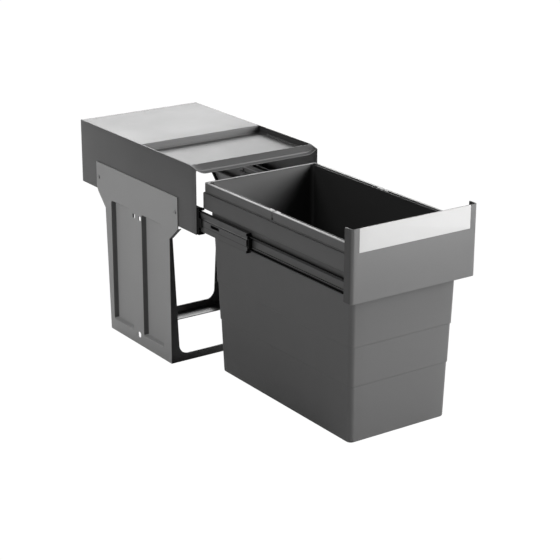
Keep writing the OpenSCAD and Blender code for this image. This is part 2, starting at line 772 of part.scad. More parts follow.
// Collar: a ring round the bin with an outer band, a rounded lower edge and a ledge on top
module ring_plan(x, y0, y1, r) {
    round_rect(-x, x, y0, y1, r);
}
module ledge_hole() {
    ring_plan(bin_rim_half + ledge_gap, bin_front_y - ledge_gap, bin_back_y + ledge_gap, bin_r);
}
module carrier_collar() {
    w = collar_wall;
    z0 = collar_z0;
    hole_y0 = bin_front_y - ledge_gap;
    hole_y1 = bin_back_y + ledge_gap;
    bracket_x = rail_x - rail_t - bracket_t;
    color([0.27, 0.27, 0.28]) difference() {
        translate([0, 0, z0]) linear_extrude(collar_h) ring_plan(collar_x, collar_y0, collar_y1, collar_r);
        translate([0, 0, z0 + w]) linear_extrude(collar_h - w - ledge_t)
            ring_plan(collar_x - w, collar_y0 + w, collar_y1 - w, collar_r - w);
        translate([0, 0, z0 - over]) linear_extrude(collar_h + 2 * over) ledge_hole();
        span([-rail_x, hole_y0 - over, z0 - over], [rail_x, hole_y1 + over, z0 + w + over]);
        for (s = [false, true]) side(s) {
            span([rail_x - rail_t, collar_y0 - over, z0 - over], [rail_x, rail_y1 + bracket_t, rail_top]);
            span([bracket_x, collar_y0 - over, z0 - over], [rail_x, hole_y0, bracket_z1 + bracket_t]);
            collar_edge_cut();
        }
    }
}

// Rounds the lower outer edge of the collar's long sides
module collar_edge_cut() {
    r = collar_wall;
    difference() {
        span([collar_x - r, collar_y0 - over, collar_z0 - over],
             [collar_x + over, collar_y1 + over, collar_z0 + r]);
        rod_y(collar_x - r, collar_y0 - 2 * over, collar_y1 + 2 * over, collar_z0 + r, 2 * r);
    }
}

// Angle bracket between side rail and front panel
bracket_rivet_zs = [306, 325];
panel_screw_zs = [285, 320];
bracket_rivet_run = 27;
bracket_rivet_y = rail_y0 + bracket_rivet_run;
module bracket_rivet_places() {
    for (z = bracket_rivet_zs) translate([0, bracket_rivet_y, z]) children();
}
panel_screw_x = rail_x - rail_t - bracket_foot / 2;
module panel_screw_places() {
    for (z = panel_screw_zs) translate([panel_screw_x, 0, z]) children();
}
module panel_bracket(left) {
    x1 = rail_x - rail_t;
    y0 = panel_y0 + panel_wall;
    color([0.35, 0.35, 0.36]) side(left) difference() {
        union() {
            span([x1 - bracket_t, y0, bracket_z0], [x1, y0 + bracket_leg, bracket_z1]);
            span([x1 - bracket_foot, y0, bracket_z0], [x1, y0 + bracket_t, bracket_z1]);
        }
        bracket_rivet_places() rod_x(x1 - bracket_t - over, x1 + over, 0, 0, rivet_d + screw_clear);
        panel_screw_places() rod_y(0, y0 - over, y0 + bracket_t + over, 0, screw_shank_d + screw_clear);
    }
}
module panel_bracket_left() panel_bracket(true);
module panel_bracket_right() panel_bracket(false);

// Screws from the brackets into the back of the front panel
module panel_screws() {
    y0 = panel_y0 + panel_wall;
    color([0.5, 0.5, 0.51]) for (s = [false, true]) side(s) panel_screw_places() difference() {
        union() {
            rod_y(0, y0 - panel_screw_in, y0 + bracket_t, 0, screw_shank_d);
            rod_y(0, y0 + bracket_t, y0 + bracket_t + screw_head_h, 0, screw_head_d);
        }
        rod_y(0, y0 + bracket_t + screw_head_h / 2, y0 + bracket_t + screw_head_h + over, 0, screw_drive_d);
    }
}

// Front panel: a shell with rounded upright edges and side returns, and a pocket for the strip
module panel_plan(x, y0, y1, r) {
    translate([-x + r, y0]) square([2 * (x - r), y1 - y0]);
    translate([-x, y0 + r]) square([2 * x, y1 - y0 - r]);
    for (s = [-1, 1]) translate([s * (x - r), y0 + r]) circle(r);
}
module front_panel() {
    x = panel_x;
    color([0.45, 0.45, 0.46]) difference() {
        translate([0, 0, panel_z0]) linear_extrude(panel_h) panel_plan(x, panel_y0, panel_back_y, panel_r);
        translate([0, 0, panel_z0 - over]) linear_extrude(panel_h + 2 * over)
            panel_plan(x - panel_wall, panel_y0 + panel_wall, panel_back_y + over, panel_r - panel_wall);
        span([-strip_x, panel_y0 - over, panel_top - strip_h],
             [strip_x, panel_y0 + strip_t, panel_top + over]);
        for (s = [false, true]) side(s) panel_screw_places()
            rod_y(0, panel_y0 + panel_wall - panel_screw_in, panel_y0 + panel_wall + over, 0, panel_hole_d);
    }
}
module trim_strip() {
    color([0.92, 0.92, 0.92])
        span([-strip_x, panel_y0, panel_top - strip_h], [strip_x, panel_y0 + strip_t, panel_top]);
}

// Bin: three tapered stages with a small step between them, and a rim that hangs on the collar
bin_share_1 = (bin_step_z1 - bin_z0) / (bin_top - bin_z0);
bin_share_2 = (bin_step_z2 - bin_z0) / (bin_top - bin_z0);
plate_h = 0.5;
module bin_plate(share, inset, z, r) {
    x = bin_rim_half - (1 - share) * bin_lean - inset;
    y0 = bin_front_y + (1 - share) * bin_lean + inset;
    y1 = bin_back_y - (1 - share) * bin_back_lean - inset;
    for (px = [-x + r, x - r], py = [y0 + r, y1 - r])
        translate([px, py, z]) cylinder(h = plate_h, r = r, $fn = corner_fn);
}
module bin_stage(share_0, share_1, z0, z1, inset, r) {
    hull() {
        bin_plate(share_0, inset, z0, r);
        bin_plate(share_1, inset, z1 - plate_h, r);
    }
}
module bin_foot(z0, inset, r) {
    bevel = bin_foot_bevel;
    hull() {
        bin_plate(0, inset + bevel, z0, r - bevel / 2);
        bin_plate(0, inset, z0 + bevel, r);
        bin_plate(bin_share_1, inset, bin_step_z1 - plate_h, r);
    }
}
module bin() {
    w = bin_wall;
    step = bin_step;
    color([0.42, 0.42, 0.43]) difference() {
        union() {
            bin_foot(bin_z0, 2 * step, bin_r);
            bin_stage(bin_share_1, bin_share_2, bin_step_z1 - plate_h, bin_step_z2, step, bin_r);
            bin_stage(bin_share_2, 1, bin_step_z2 - plate_h, bin_top, 0, bin_r);
            translate([0, 0, collar_top]) linear_extrude(rim_t) ring_plan(rim_x, rim_y0, rim_y1, rim_r);
        }
        bin_foot(bin_z0 + w, 2 * step + w, bin_r - w);
        bin_stage(bin_share_1, bin_share_2, bin_step_z1 - plate_h, bin_step_z2, step + w, bin_r - w);
        bin_stage(bin_share_2, 1, bin_step_z2 - plate_h, bin_top + over, w, bin_r - w);
    }
}

// Carrying bails: half rings that lie round the bin's wall on its rim
module bail_plan(front) {
    difference() {
        ring_plan(rim_x, rim_y0, rim_y1, rim_r);
        y = bail_split_y + (front ? -bail_gap / 2 : bail_gap / 2);
        if (front) translate([-hood_w, y]) square([2 * hood_w, travel]);
        else translate([-hood_w, y - travel]) square([2 * hood_w, travel]);
    }
}
module bail(front) {
    color([0.4, 0.4, 0.41]) difference() {
        translate([0, 0, rim_z]) linear_extrude(rim_top - rim_z) bail_plan(front);
        translate([0, 0, rim_z - over]) linear_extrude(rim_top - rim_z + 2 * over)
            ring_plan(bail_x0, bail_y0, bail_y1, bin_r);
        difference() {
            translate([0, 0, rim_z - over]) linear_extrude(rim_top - bail_top_t - rim_z + over)
                ring_plan(rim_x - bail_wall, rim_y0 + bail_wall, rim_y1 - bail_wall, rim_r - bail_wall);
            for (s = [false, true]) side(s)
                span([bail_x0, bail_split_y - bail_gap / 2 - bail_end_len, rim_z - 2 * over],
                     [rim_x, bail_split_y + bail_gap / 2 + bail_end_len, rim_top]);
        }
        for (s = [false, true]) side(s) {
            bail_pin_places() rod_x(bail_x0 - over, rim_x - bail_wall, 0, 0, bail_pin_d + screw_clear);
            rod_x(bail_x0 - over, rim_x + over, bail_split_y, bail_notch_z, bail_notch_d);
            bail_end_chamfer();
        }
    }
}

// Cuts the upper corners beside the slit on both bails to a slope
module bail_end_chamfer() {
    half = bail_gap / 2;
    c = half + bail_end_cut;
    translate([0, bail_split_y, rim_top]) along_x(bail_x0 - over, rim_x + over) polygon([
        [-c - over, over], [-c, 0], [-half, -bail_end_cut], [half, -bail_end_cut], [c, 0], [c + over, over]
    ]);
}

// The four pivots, two on each side of the slit
module bail_pin_places() {
    for (s = [-1, 1])
        translate([0, bail_split_y + s * (bail_gap / 2 + bail_pin_from_end), bail_pin_z]) children();
}
module front_bail() bail(true);
module rear_bail() bail(false);
module bail_pins() {
    color([0.1, 0.1, 0.1]) for (s = [false, true]) side(s) bail_pin_places()
        rod_x(bin_rim_half, rim_x - bail_wall, 0, 0, bail_pin_d);
}

hood_cover();
tray_liner();
stand_side_left();
stand_side_right();
stand_front_frame();
stand_rear_frame();
hood_screws();
slide_outer_left();
slide_outer_right();
slide_bumper_left();
slide_bumper_right();
slide_middle_left();
slide_middle_right();
middle_stop_left();
middle_stop_right();
cage_outer_left();
cage_outer_right();
balls_outer_left();
balls_outer_right();
cage_inner_left();
cage_inner_right();
balls_inner_left();
balls_inner_right();
slide_inner_left();
slide_inner_right();
side_rail_left();
side_rail_right();
rail_rivets();
carrier_collar();
panel_bracket_left();
panel_bracket_right();
panel_screws();
front_panel();
trim_strip();
bin();
front_bail();
rear_bail();
bail_pins();
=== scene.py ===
"""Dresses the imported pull-out waste bin unit: steel hood and stand, plastic bin, collar, handles and front.

Sizes of pieces are millimetres in the CAD frame, turned into metres when a mesh or a paint is made.
The floor, the lights and the camera are placed in metres, and noise scales are per metre.
"""
import math

import bmesh
import bpy
import numpy as np
from mathutils import Matrix, Vector


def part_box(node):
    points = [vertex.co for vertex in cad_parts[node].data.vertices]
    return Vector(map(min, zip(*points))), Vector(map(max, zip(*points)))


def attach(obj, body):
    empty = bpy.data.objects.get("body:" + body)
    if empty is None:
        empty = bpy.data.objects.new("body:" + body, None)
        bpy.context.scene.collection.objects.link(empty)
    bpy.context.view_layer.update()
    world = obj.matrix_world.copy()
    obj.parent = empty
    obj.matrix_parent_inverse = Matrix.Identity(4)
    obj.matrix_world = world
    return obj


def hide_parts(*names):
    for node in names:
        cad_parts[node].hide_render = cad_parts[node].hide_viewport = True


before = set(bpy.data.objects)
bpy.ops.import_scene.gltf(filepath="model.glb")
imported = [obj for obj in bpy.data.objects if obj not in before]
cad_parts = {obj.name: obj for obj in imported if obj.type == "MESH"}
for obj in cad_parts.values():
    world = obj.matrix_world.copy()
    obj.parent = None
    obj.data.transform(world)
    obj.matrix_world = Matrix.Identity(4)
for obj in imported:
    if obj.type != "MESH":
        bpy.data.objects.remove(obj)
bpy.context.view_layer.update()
MM = 0.001
# Merging and collapsing distances in metres, and the angle in degrees from which an edge is bevelled
MERGE, COLLAPSE, BEVEL_FROM = 2e-6, 1e-6, 38
BUMP_STRENGTH = 0.6


def corners(node):
    """Lowest and highest corner of a CAD node, in millimetres."""
    lo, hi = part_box(node)
    return np.array(lo) / MM, np.array(hi) / MM


# Flat outlines

def rounded(points, radii, steps=5):
    """Closed outline whose corners are arcs, each of which touches both edges of its corner."""
    p = np.asarray(points, float)
    r = np.broadcast_to(np.asarray(radii, float), (len(p),))
    d0 = p - np.roll(p, 1, 0)
    d0 /= np.linalg.norm(d0, axis=1)[:, None]
    d1 = np.roll(d0, -1, 0)
    turn = np.arctan2(d0[:, 0] * d1[:, 1] - d0[:, 1] * d1[:, 0], (d0 * d1).sum(1))
    start = p - d0 * (r * np.tan(np.abs(turn) / 2))[:, None]
    centre = start + np.stack([-d0[:, 1], d0[:, 0]], 1) * (np.sign(turn) * r)[:, None]
    v = start - centre
    a = turn[:, None] * np.linspace(0, 1, steps)
    x = centre[:, :1] + v[:, :1] * np.cos(a) - v[:, 1:] * np.sin(a)
    y = centre[:, 1:] + v[:, :1] * np.sin(a) + v[:, 1:] * np.cos(a)
    return np.stack([x, y], -1).reshape(-1, 2)


def bent_line(points, radii, steps=6):
    """Open line with arcs at its inner corners: the closed outline's arcs, without those of its two ends."""
    p = np.asarray(points, float)
    r = np.zeros(len(p))
    r[1:-1] = radii
    q = rounded(p, r, steps)
    return np.concatenate([p[:1], q[steps:-steps], p[-1:]])


def sheet_outline(line, thickness, tip=4):
    """Outline of a bent sheet: the line shifted by half the thickness to both sides, with half-round ends."""
    t = np.gradient(line, axis=0)
    t /= np.linalg.norm(t, axis=1)[:, None]
    n = np.stack([-t[:, 1], t[:, 0]], 1)
    h = thickness / 2
    a = np.linspace(0, math.pi, tip + 2)[1:-1, None]
    far = line[-1] + h * (np.cos(a) * n[-1] + np.sin(a) * t[-1])
    near = line[0] + h * (-np.cos(a) * n[0] - np.sin(a) * t[0])
    return np.concatenate([line + h * n, far, (line - h * n)[::-1], near])


def corner_ring(x, y0, y1, r, steps=9, sides=6):
    """Rounded rectangles, one row for each value given: four arcs of radius r joined by straight runs.

    A point of an arc is its centre plus r times (cos a, sin a); a point of a run divides it evenly.
    """
    x, y0, y1, r = (np.asarray(v, float).reshape(-1, 1) for v in np.broadcast_arrays(x, y0, y1, r))
    rows = []
    a = np.linspace(0, math.pi / 2, steps)[None, :]
    for k, (cx, cy) in enumerate([(x - r, y1 - r), (r - x, y1 - r), (r - x, y0 + r), (x - r, y0 + r)]):
        turned = a + k * math.pi / 2
        rows.append(np.stack([cx + r * np.cos(turned), cy + r * np.sin(turned)], -1))
    full = []
    u = (np.arange(1, sides) / sides)[None, :, None]
    for k in range(4):
        end, start = rows[k][:, -1:], rows[(k + 1) % 4][:, :1]
        full += [rows[k], end + (start - end) * u]
    return np.concatenate(full, 1)


def half_ring(x, y_end, y_far, r, steps=9, sides=10):
    """Half of a rounded rectangle, from the left end at y_end round the far side to the right end."""
    values = np.broadcast_arrays(x, y_end, y_far, r)
    x, y_end, y_far, r = (np.asarray(v, float).reshape(-1, 1) for v in values)
    way = np.sign(y_far - y_end)
    a = np.linspace(0, math.pi / 2, steps)[None, :]
    left = np.stack([r - x - r * np.cos(a), y_far - way * r + way * r * np.sin(a)], -1)
    right = left[:, ::-1] * np.array([-1.0, 1.0])
    u = np.linspace(0, 1, sides)[None, :]
    run = np.stack([-x + 0 * u, y_end + (y_far - way * r - y_end) * u], -1)[:, :-1]
    cross = left[:, -1:] + (right[:, :1] - left[:, -1:]) * (np.arange(1, sides) / sides)[None, :, None]
    return np.concatenate([run, left, cross, right, run[:, ::-1] * np.array([-1.0, 1.0])], 1)


def with_height(ring, z):
    """Adds a height to flat rows of points: one value for each row, or one for each point."""
    z = np.asarray(z, float)
    z = z[:, None] if z.ndim == 1 else z
    return np.concatenate([ring, np.broadcast_to(z, ring.shape[:2])[..., None]], -1)


# Meshes

def grid_faces(rows, cols, close_rows=False, close_cols=False):
    """Four-sided faces between neighbouring points of a grid, as rows of vertex numbers."""
    i, j = np.meshgrid(np.arange(rows - (not close_rows)), np.arange(cols - (not close_cols)), indexing="ij")
    i2, j2 = (i + 1) % rows, (j + 1) % cols
    return np.stack([i * cols + j, i2 * cols + j, i2 * cols + j2, i * cols + j2], -1).reshape(-1, 4)


def piece(name, parts, body, paint, replaces=(), sharp=32.0, bevel=0.0, sheet=0.0, outward=0):
    """One object from a list of (points, faces) parts: doubles merged, normals outwards, edges finished.

    For an open sheet, outward is the sign of X that its visible face looks to.
    """
    verts, faces, base = [], [], 0
    for points, polygons in parts:
        p = np.asarray(points, float).reshape(-1, 3)
        verts.append(p)
        faces += [tuple(int(i) + base for i in f) for f in polygons]
        base += len(p)
    mesh = bpy.data.meshes.new(name)
    mesh.from_pydata((np.concatenate(verts) * MM).tolist(), [], faces)
    bm = bmesh.new()
    bm.from_mesh(mesh)
    bmesh.ops.remove_doubles(bm, verts=bm.verts, dist=MERGE)
    bmesh.ops.dissolve_degenerate(bm, edges=bm.edges, dist=COLLAPSE)
    bmesh.ops.recalc_face_normals(bm, faces=bm.faces)
    if outward * sum(f.normal.x * f.calc_area() for f in bm.faces) < 0:
        bmesh.ops.reverse_faces(bm, faces=bm.faces)
    bm.to_mesh(mesh)
    bm.free()
    mesh.shade_smooth()
    mesh.set_sharp_from_angle(angle=math.radians(sharp))
    obj = bpy.data.objects.new(name, mesh)
    bpy.context.scene.collection.objects.link(obj)
    mesh.materials.append(paint)
    if sheet:
        wall = obj.modifiers.new("wall", "SOLIDIFY")
        wall.thickness, wall.offset, wall.use_even_offset = sheet * MM, -1.0, True
    if bevel:
        edge = obj.modifiers.new("edge", "BEVEL")
        edge.width, edge.segments, edge.limit_method = bevel * MM, 2, "ANGLE"
        edge.angle_limit = math.radians(BEVEL_FROM)
        shade = obj.modifiers.new("shade", "WEIGHTED_NORMAL")
        shade.keep_sharp = True
    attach(obj, body)
    if replaces:
        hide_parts(*replaces)
    return obj


def loft(points, close_rows=False, close_cols=False, cap_rows=False, cap_cols=False):
    """Points on a grid with their faces, and flat caps over the first and last row or column."""
    rows, cols = points.shape[:2]
    faces = grid_faces(rows, cols, close_rows, close_cols).tolist()
    if cap_rows:
        faces += [list(range(cols)), list(range((rows - 1) * cols, rows * cols))]
    if cap_cols:
        faces += [list(range(0, rows * cols, cols)), list(range(cols - 1, rows * cols, cols))]
    return points, faces


# Paints

def group(name, inputs, outputs):
    """An empty shader group with named inputs (name, kind, value) and outputs (name, kind)."""
    g = bpy.data.node_groups.new(name, "ShaderNodeTree")
    for n, kind, value in inputs:
        s = g.interface.new_socket(name=n, in_out="INPUT", socket_type="NodeSocket" + kind)
        s.default_value = value
    for n, kind in outputs:
        g.interface.new_socket(name=n, in_out="OUTPUT", socket_type="NodeSocket" + kind)
    return g, g.nodes.new("NodeGroupInput"), g.nodes.new("NodeGroupOutput")


def wire(tree, *pairs):
    """Joins output to input for each pair."""
    for a, b in pairs:
        tree.links.new(a, b)


def math_node(tree, kind, a, b=None, clamp=False):
    """A Math node whose inputs are sockets or plain numbers."""
    n = tree.nodes.new("ShaderNodeMath")
    n.operation, n.use_clamp = kind, clamp
    for i, v in enumerate((a, b)):
        if v is None:
            continue
        if isinstance(v, (int, float)):
            n.inputs[i].default_value = v
        else:
            tree.links.new(v, n.inputs[i])
    return n.outputs[0]


def scaled_noise(tree, vector, scale, detail, rough=0.55):
    """Noise over a position, with its scale from a socket or a number."""
    n = tree.nodes.new("ShaderNodeTexNoise")
    n.inputs["Detail"].default_value = detail
    n.inputs["Roughness"].default_value = rough
    tree.links.new(vector, n.inputs["Vector"])
    if isinstance(scale, (int, float)):
        n.inputs["Scale"].default_value = scale
    else:
        tree.links.new(scale, n.inputs["Scale"])
    return n.outputs["Fac"]


def make_powder_grain():
    """Height of a powder coat or moulded grain: fine noise plus a slow orange-peel wave."""
    g, i, o = group("powder_grain", [("Position", "Vector", (0, 0, 0)), ("Grain size", "Float", 900.0),
                                     ("Wave size", "Float", 60.0), ("Wave share", "Float", 0.3)],
                    [("Height", "Float"), ("Spread", "Float")])
    fine = scaled_noise(g, i.outputs["Position"], i.outputs["Grain size"], 2.0)
    wave = scaled_noise(g, i.outputs["Position"], i.outputs["Wave size"], 1.0)
    swell = math_node(g, "MULTIPLY", wave, i.outputs["Wave share"])
    wire(g, (math_node(g, "ADD", fine, swell), o.inputs["Height"]), (fine, o.inputs["Spread"]))
    return g


def make_tone_drift():
    """Colour that drifts over the surface: broad noise and fine specks darken or lighten the base."""
    g, i, o = group("tone_drift", [("Position", "Vector", (0, 0, 0)), ("Base", "Color", (0.5, 0.5, 0.5, 1)),
                                   ("Broad", "Float", 0.06), ("Specks", "Float", 0.05),
                                   ("Speck size", "Float", 700.0)], [("Colour", "Color")])
    broad = scaled_noise(g, i.outputs["Position"], 9.0, 3.0)
    speck = scaled_noise(g, i.outputs["Position"], i.outputs["Speck size"], 1.0)
    b = math_node(g, "MULTIPLY", math_node(g, "SUBTRACT", broad, 0.5), i.outputs["Broad"])
    s = math_node(g, "MULTIPLY", math_node(g, "SUBTRACT", speck, 0.5), i.outputs["Specks"])
    gain = math_node(g, "ADD", math_node(g, "ADD", b, s), 1.0)
    mix = g.nodes.new("ShaderNodeVectorMath")
    mix.operation = "SCALE"
    wire(g, (i.outputs["Base"], mix.inputs[0]), (gain, mix.inputs["Scale"]),
         (mix.outputs[0], o.inputs["Colour"]))
    return g


def make_handled_gloss():
    """Roughness that varies as on a handled part: smudges of broad noise and a little of the grain."""
    g, i, o = group("handled_gloss", [("Position", "Vector", (0, 0, 0)), ("Rough", "Float", 0.5),
                                      ("Smudges", "Float", 0.12), ("Smudge size", "Float", 14.0)],
                    [("Roughness", "Float")])
    smudge = scaled_noise(g, i.outputs["Position"], i.outputs["Smudge size"], 4.0, 0.6)
    shift = math_node(g, "MULTIPLY", math_node(g, "SUBTRACT", smudge, 0.5), i.outputs["Smudges"])
    wire(g, (math_node(g, "ADD", i.outputs["Rough"], shift, clamp=True), o.inputs["Roughness"]))
    return g


def make_band():
    """Mask that is one between two heights and zero outside them, with soft borders."""
    g, i, o = group("height_band", [("Position", "Vector", (0, 0, 0)), ("Low", "Float", 0.0),
                                    ("High", "Float", 1.0), ("Soft", "Float", 0.0005)], [("Mask", "Float")])
    xyz = g.nodes.new("ShaderNodeSeparateXYZ")
    wire(g, (i.outputs["Position"], xyz.inputs[0]))
    above = math_node(g, "SUBTRACT", xyz.outputs["Z"], i.outputs["Low"])
    below = math_node(g, "SUBTRACT", i.outputs["High"], xyz.outputs["Z"])
    up = math_node(g, "DIVIDE", above, i.outputs["Soft"], True)
    down = math_node(g, "DIVIDE", below, i.outputs["Soft"], True)
    wire(g, (math_node(g, "MULTIPLY", up, down), o.inputs["Mask"]))
    return g


def make_drawn_lines():
    """Fine lines drawn along the depth, as on rolled or drawn steel: noise stretched along Y."""
    g, i, o = group("drawn_lines", [("Position", "Vector", (0, 0, 0)), ("Line size", "Float", 1500.0)],
                    [("Height", "Float")])
    m = g.nodes.new("ShaderNodeMapping")
    m.inputs["Scale"].default_value = (1.0, 0.02, 1.0)
    wire(g, (i.outputs["Position"], m.inputs["Vector"]))
    wire(g, (scaled_noise(g, m.outputs[0], i.outputs["Line size"], 2.0), o.inputs["Height"]))
    return g


def make_facing():
    """Mask that rises from zero to one as the surface turns towards a direction; it places painted light and
    painted shade by which way a face turns.
    """
    g, i, o = group("facing_mask", [("Direction", "Vector", (0, 0, 1)), ("Low", "Float", 0.3),
                                    ("High", "Float", 0.7)], [("Mask", "Float")])
    dot = g.nodes.new("ShaderNodeVectorMath")
    dot.operation = "DOT_PRODUCT"
    normal = g.nodes.new("ShaderNodeNewGeometry").outputs["Normal"]
    wire(g, (normal, dot.inputs[0]), (i.outputs["Direction"], dot.inputs[1]))
    span = math_node(g, "SUBTRACT", i.outputs["High"], i.outputs["Low"])
    up = math_node(g, "SUBTRACT", dot.outputs["Value"], i.outputs["Low"])
    wire(g, (math_node(g, "DIVIDE", up, span, True), o.inputs["Mask"]))
    return g


def make_inside():
    """Mask that is one on walls that look towards an upright line through the centre: where painted shade
    lies inside the bin.
    """
    g, i, o = group("inside_mask", [("Position", "Vector", (0, 0, 0)), ("Centre", "Vector", (0, 0, 0))],
                    [("Mask", "Float")])
    out, flat, dot = (g.nodes.new("ShaderNodeVectorMath") for _ in range(3))
    out.operation, flat.operation, dot.operation = "SUBTRACT", "MULTIPLY", "DOT_PRODUCT"
    flat.inputs[1].default_value = (1.0, 1.0, 0.0)
    normal = g.nodes.new("ShaderNodeNewGeometry").outputs["Normal"]
    wire(g, (i.outputs["Position"], out.inputs[0]), (i.outputs["Centre"], out.inputs[1]),
         (out.outputs[0], flat.inputs[0]), (flat.outputs[0], dot.inputs[0]), (normal, dot.inputs[1]))
    wire(g, (math_node(g, "LESS_THAN", dot.outputs["Value"], -0.01), o.inputs["Mask"]))
    return g


GRAIN, DRIFT, GLOSS = make_powder_grain(), make_tone_drift(), make_handled_gloss()
BAND, LINES, FACING, INSIDE = make_band(), make_drawn_lines(), make_facing(), make_inside()


def use(tree, g, position, **values):
    """Places a shader group, feeds it the position if it takes one, and sets its other inputs by name."""
    n = tree.nodes.new("ShaderNodeGroup")
    n.node_tree = g
    if "Position" in n.inputs:
        tree.links.new(position, n.inputs["Position"])
    for k, v in values.items():
        n.inputs[k.replace("_", " ").capitalize()].default_value = v
    return n


def finish(name, colour, rough, metallic=0.0, specular=0.5, grain=900.0, depth=0.04, broad=0.06, specks=0.06,
           smudges=0.12, lines=0.0, over=()):
    """A paint, plastic or metal: drifting colour, handled gloss and a grain or drawn lines in the normal.

    over lists (mask group, its inputs, colour): a painted light or painted shade colour that lies over the
    base where the mask is one.
    """
    m = bpy.data.materials.new(name)
    m.use_nodes = True
    t = m.node_tree
    shader = t.nodes["Principled BSDF"]
    where = t.nodes.new("ShaderNodeTexCoord").outputs["Object"]
    drift = use(t, DRIFT, where, base=(*colour, 1), broad=broad, specks=specks)
    base = drift.outputs["Colour"]
    for mask_group, values, second in over:
        mask = use(t, mask_group, where, **values)
        mix = t.nodes.new("ShaderNodeMix")
        mix.data_type = "RGBA"
        mix.inputs["B"].default_value = (*second, 1)
        wire(t, (mask.outputs["Mask"], mix.inputs["Factor"]), (base, mix.inputs["A"]))
        base = mix.outputs["Result"]
    gloss = use(t, GLOSS, where, rough=rough, smudges=smudges)
    if lines:
        height = use(t, LINES, where, line_size=lines).outputs["Height"]
    else:
        height = use(t, GRAIN, where, grain_size=grain).outputs["Height"]
    bump = t.nodes.new("ShaderNodeBump")
    bump.inputs["Strength"].default_value = BUMP_STRENGTH
    bump.inputs["Distance"].default_value = depth * MM
    wire(t, (base, shader.inputs["Base Color"]), (gloss.outputs["Roughness"], shader.inputs["Roughness"]),
         (height, bump.inputs["Height"]), (bump.outputs["Normal"], shader.inputs["Normal"]))
    shader.inputs["Metallic"].default_value = metallic
    shader.inputs["Specular IOR Level"].default_value = specular
    return m


def grey(v, warm=0.0):
    """A neutral colour, with a slight lean to warm or cool."""
    return (v * (1 + warm), v, v * (1 - warm))


SLIDE_Z = (corners("slide_outer_left")[0][2] + corners("slide_outer_left")[1][2]) / 2 * MM
BIN_MID = tuple((corners("bin")[0] + corners("bin")[1]) / 2 * MM)
# Height band of the painted highlight along the top of the two handles: their top height, and the band's half
# width in millimetres.
RIM_TOP, RIM_HIGHLIGHT_HALF = corners("front_bail")[1][2], 1.4
HIGHLIGHT_LOW, HIGHLIGHT_HIGH = (RIM_TOP - RIM_HIGHLIGHT_HALF) * MM, (RIM_TOP + RIM_HIGHLIGHT_HALF) * MM


def steel(name, *bands):
    """Dark drawn steel; bands lists (low, high, tone) heights over the slide's mid height, in millimetres,
    where a painted shade or painted highlight tone lies over the steel.
    """
    over = [(BAND, dict(low=SLIDE_Z + a * MM, high=SLIDE_Z + b * MM), grey(tone)) for a, b, tone in bands]
    return finish(name, grey(0.1), 0.36, metallic=0.3, depth=0.02, lines=1600, broad=0.12, over=over)


# Hood paint; faces turned to the front are made a little lighter: painted light on the lip's slope.
HOOD = finish("hood_powder_coat", grey(0.115), 0.46, grain=1400, depth=0.02, broad=0.05,
              over=[(FACING, dict(direction=(0, -1, 0), low=0.2, high=0.5), grey(0.14))])
LINER = finish("tray_liner_plastic", grey(0.13), 0.5, grain=1100, depth=0.03, broad=0.05)
# Stand paint, with painted shade on faces turned to the front and downwards (the pans' flanks), and a painted
# highlight on faces turned up.
STAND = finish("stand_powder_coat", grey(0.42), 0.5, grain=1300, depth=0.025, broad=0.05,
               over=[(FACING, dict(direction=(0, -1, 0), low=0.2, high=0.6), grey(0.1)),
                     (FACING, dict(direction=(0, 0, -1), low=0.2, high=0.5), grey(0.14)),
                     (FACING, dict(direction=(0, 0, 1), low=0.3, high=0.7), grey(0.5))])
# Near-black frame paint; faces turned up are made darker still: painted shade.
FRAME = finish("frame_black_coat_and_painted_shade", grey(0.042), 0.38, grain=1200, depth=0.02, broad=0.1,
               over=[(FACING, dict(direction=(0, 0, 1), low=0.3, high=0.7), grey(0.012))])
SLIDE = steel("slide_dark_steel")
# Middle slide steel: the dark band is a painted shadow under the raised web, the light band a painted
# highlight at its upper edge.
MIDDLE = steel("slide_middle_steel", (-7.4, -5.0, 0.015), (5.0, 7.6, 0.25))
# Drawer slide steel: the near-black bands above and below the web are painted shade.
DRAWN = steel("slide_drawer_steel", (-12.6, -7.6, 0.006), (6.0, 12.6, 0.006))
RAIL = finish("rail_powder_coat", grey(0.09), 0.45, grain=1300, depth=0.02, broad=0.08)
BLACK = finish("bumper_black_plastic", grey(0.004), 0.6, specular=0.12, grain=900, depth=0.03, broad=0.1)
BALL = finish("ball_bright_steel", grey(0.7), 0.12, metallic=1.0, lines=2200, depth=0.004, smudges=0.04)
SCREW = finish("screw_plated_steel", grey(0.32), 0.34, metallic=0.9, lines=2000, depth=0.01)
COLLAR = finish("collar_plastic", grey(0.108), 0.52, grain=1000, depth=0.03, broad=0.05)
# Front plastic; its side returns, the faces turned left and right, are painted darker: painted shade.
PANEL = finish("front_plastic", grey(0.145), 0.5, grain=1000, depth=0.03, broad=0.05,
               over=[(FACING, dict(direction=(side, 0, 0), low=0.75, high=0.97), grey(0.062))
                     for side in (-1, 1)])
STRIP = finish("strip_pale_plastic", grey(0.6, 0.003), 0.35, grain=1600, depth=0.008, broad=0.02, specks=0.01)
# Bin plastic; the walls facing inwards are painted much darker: painted shade inside the bin.
BIN = finish("bin_plastic", grey(0.115), 0.52, grain=950, depth=0.035, broad=0.05,
             over=[(INSIDE, dict(centre=BIN_MID), grey(0.03))])
# Handle plastic, with a pale painted highlight band along the handles' top edge.
HANDLE = finish("handle_plastic", grey(0.12), 0.5, grain=950, depth=0.03, broad=0.05,
                over=[(BAND, dict(low=HIGHLIGHT_LOW, high=HIGHLIGHT_HIGH), grey(0.62))])

# Hood

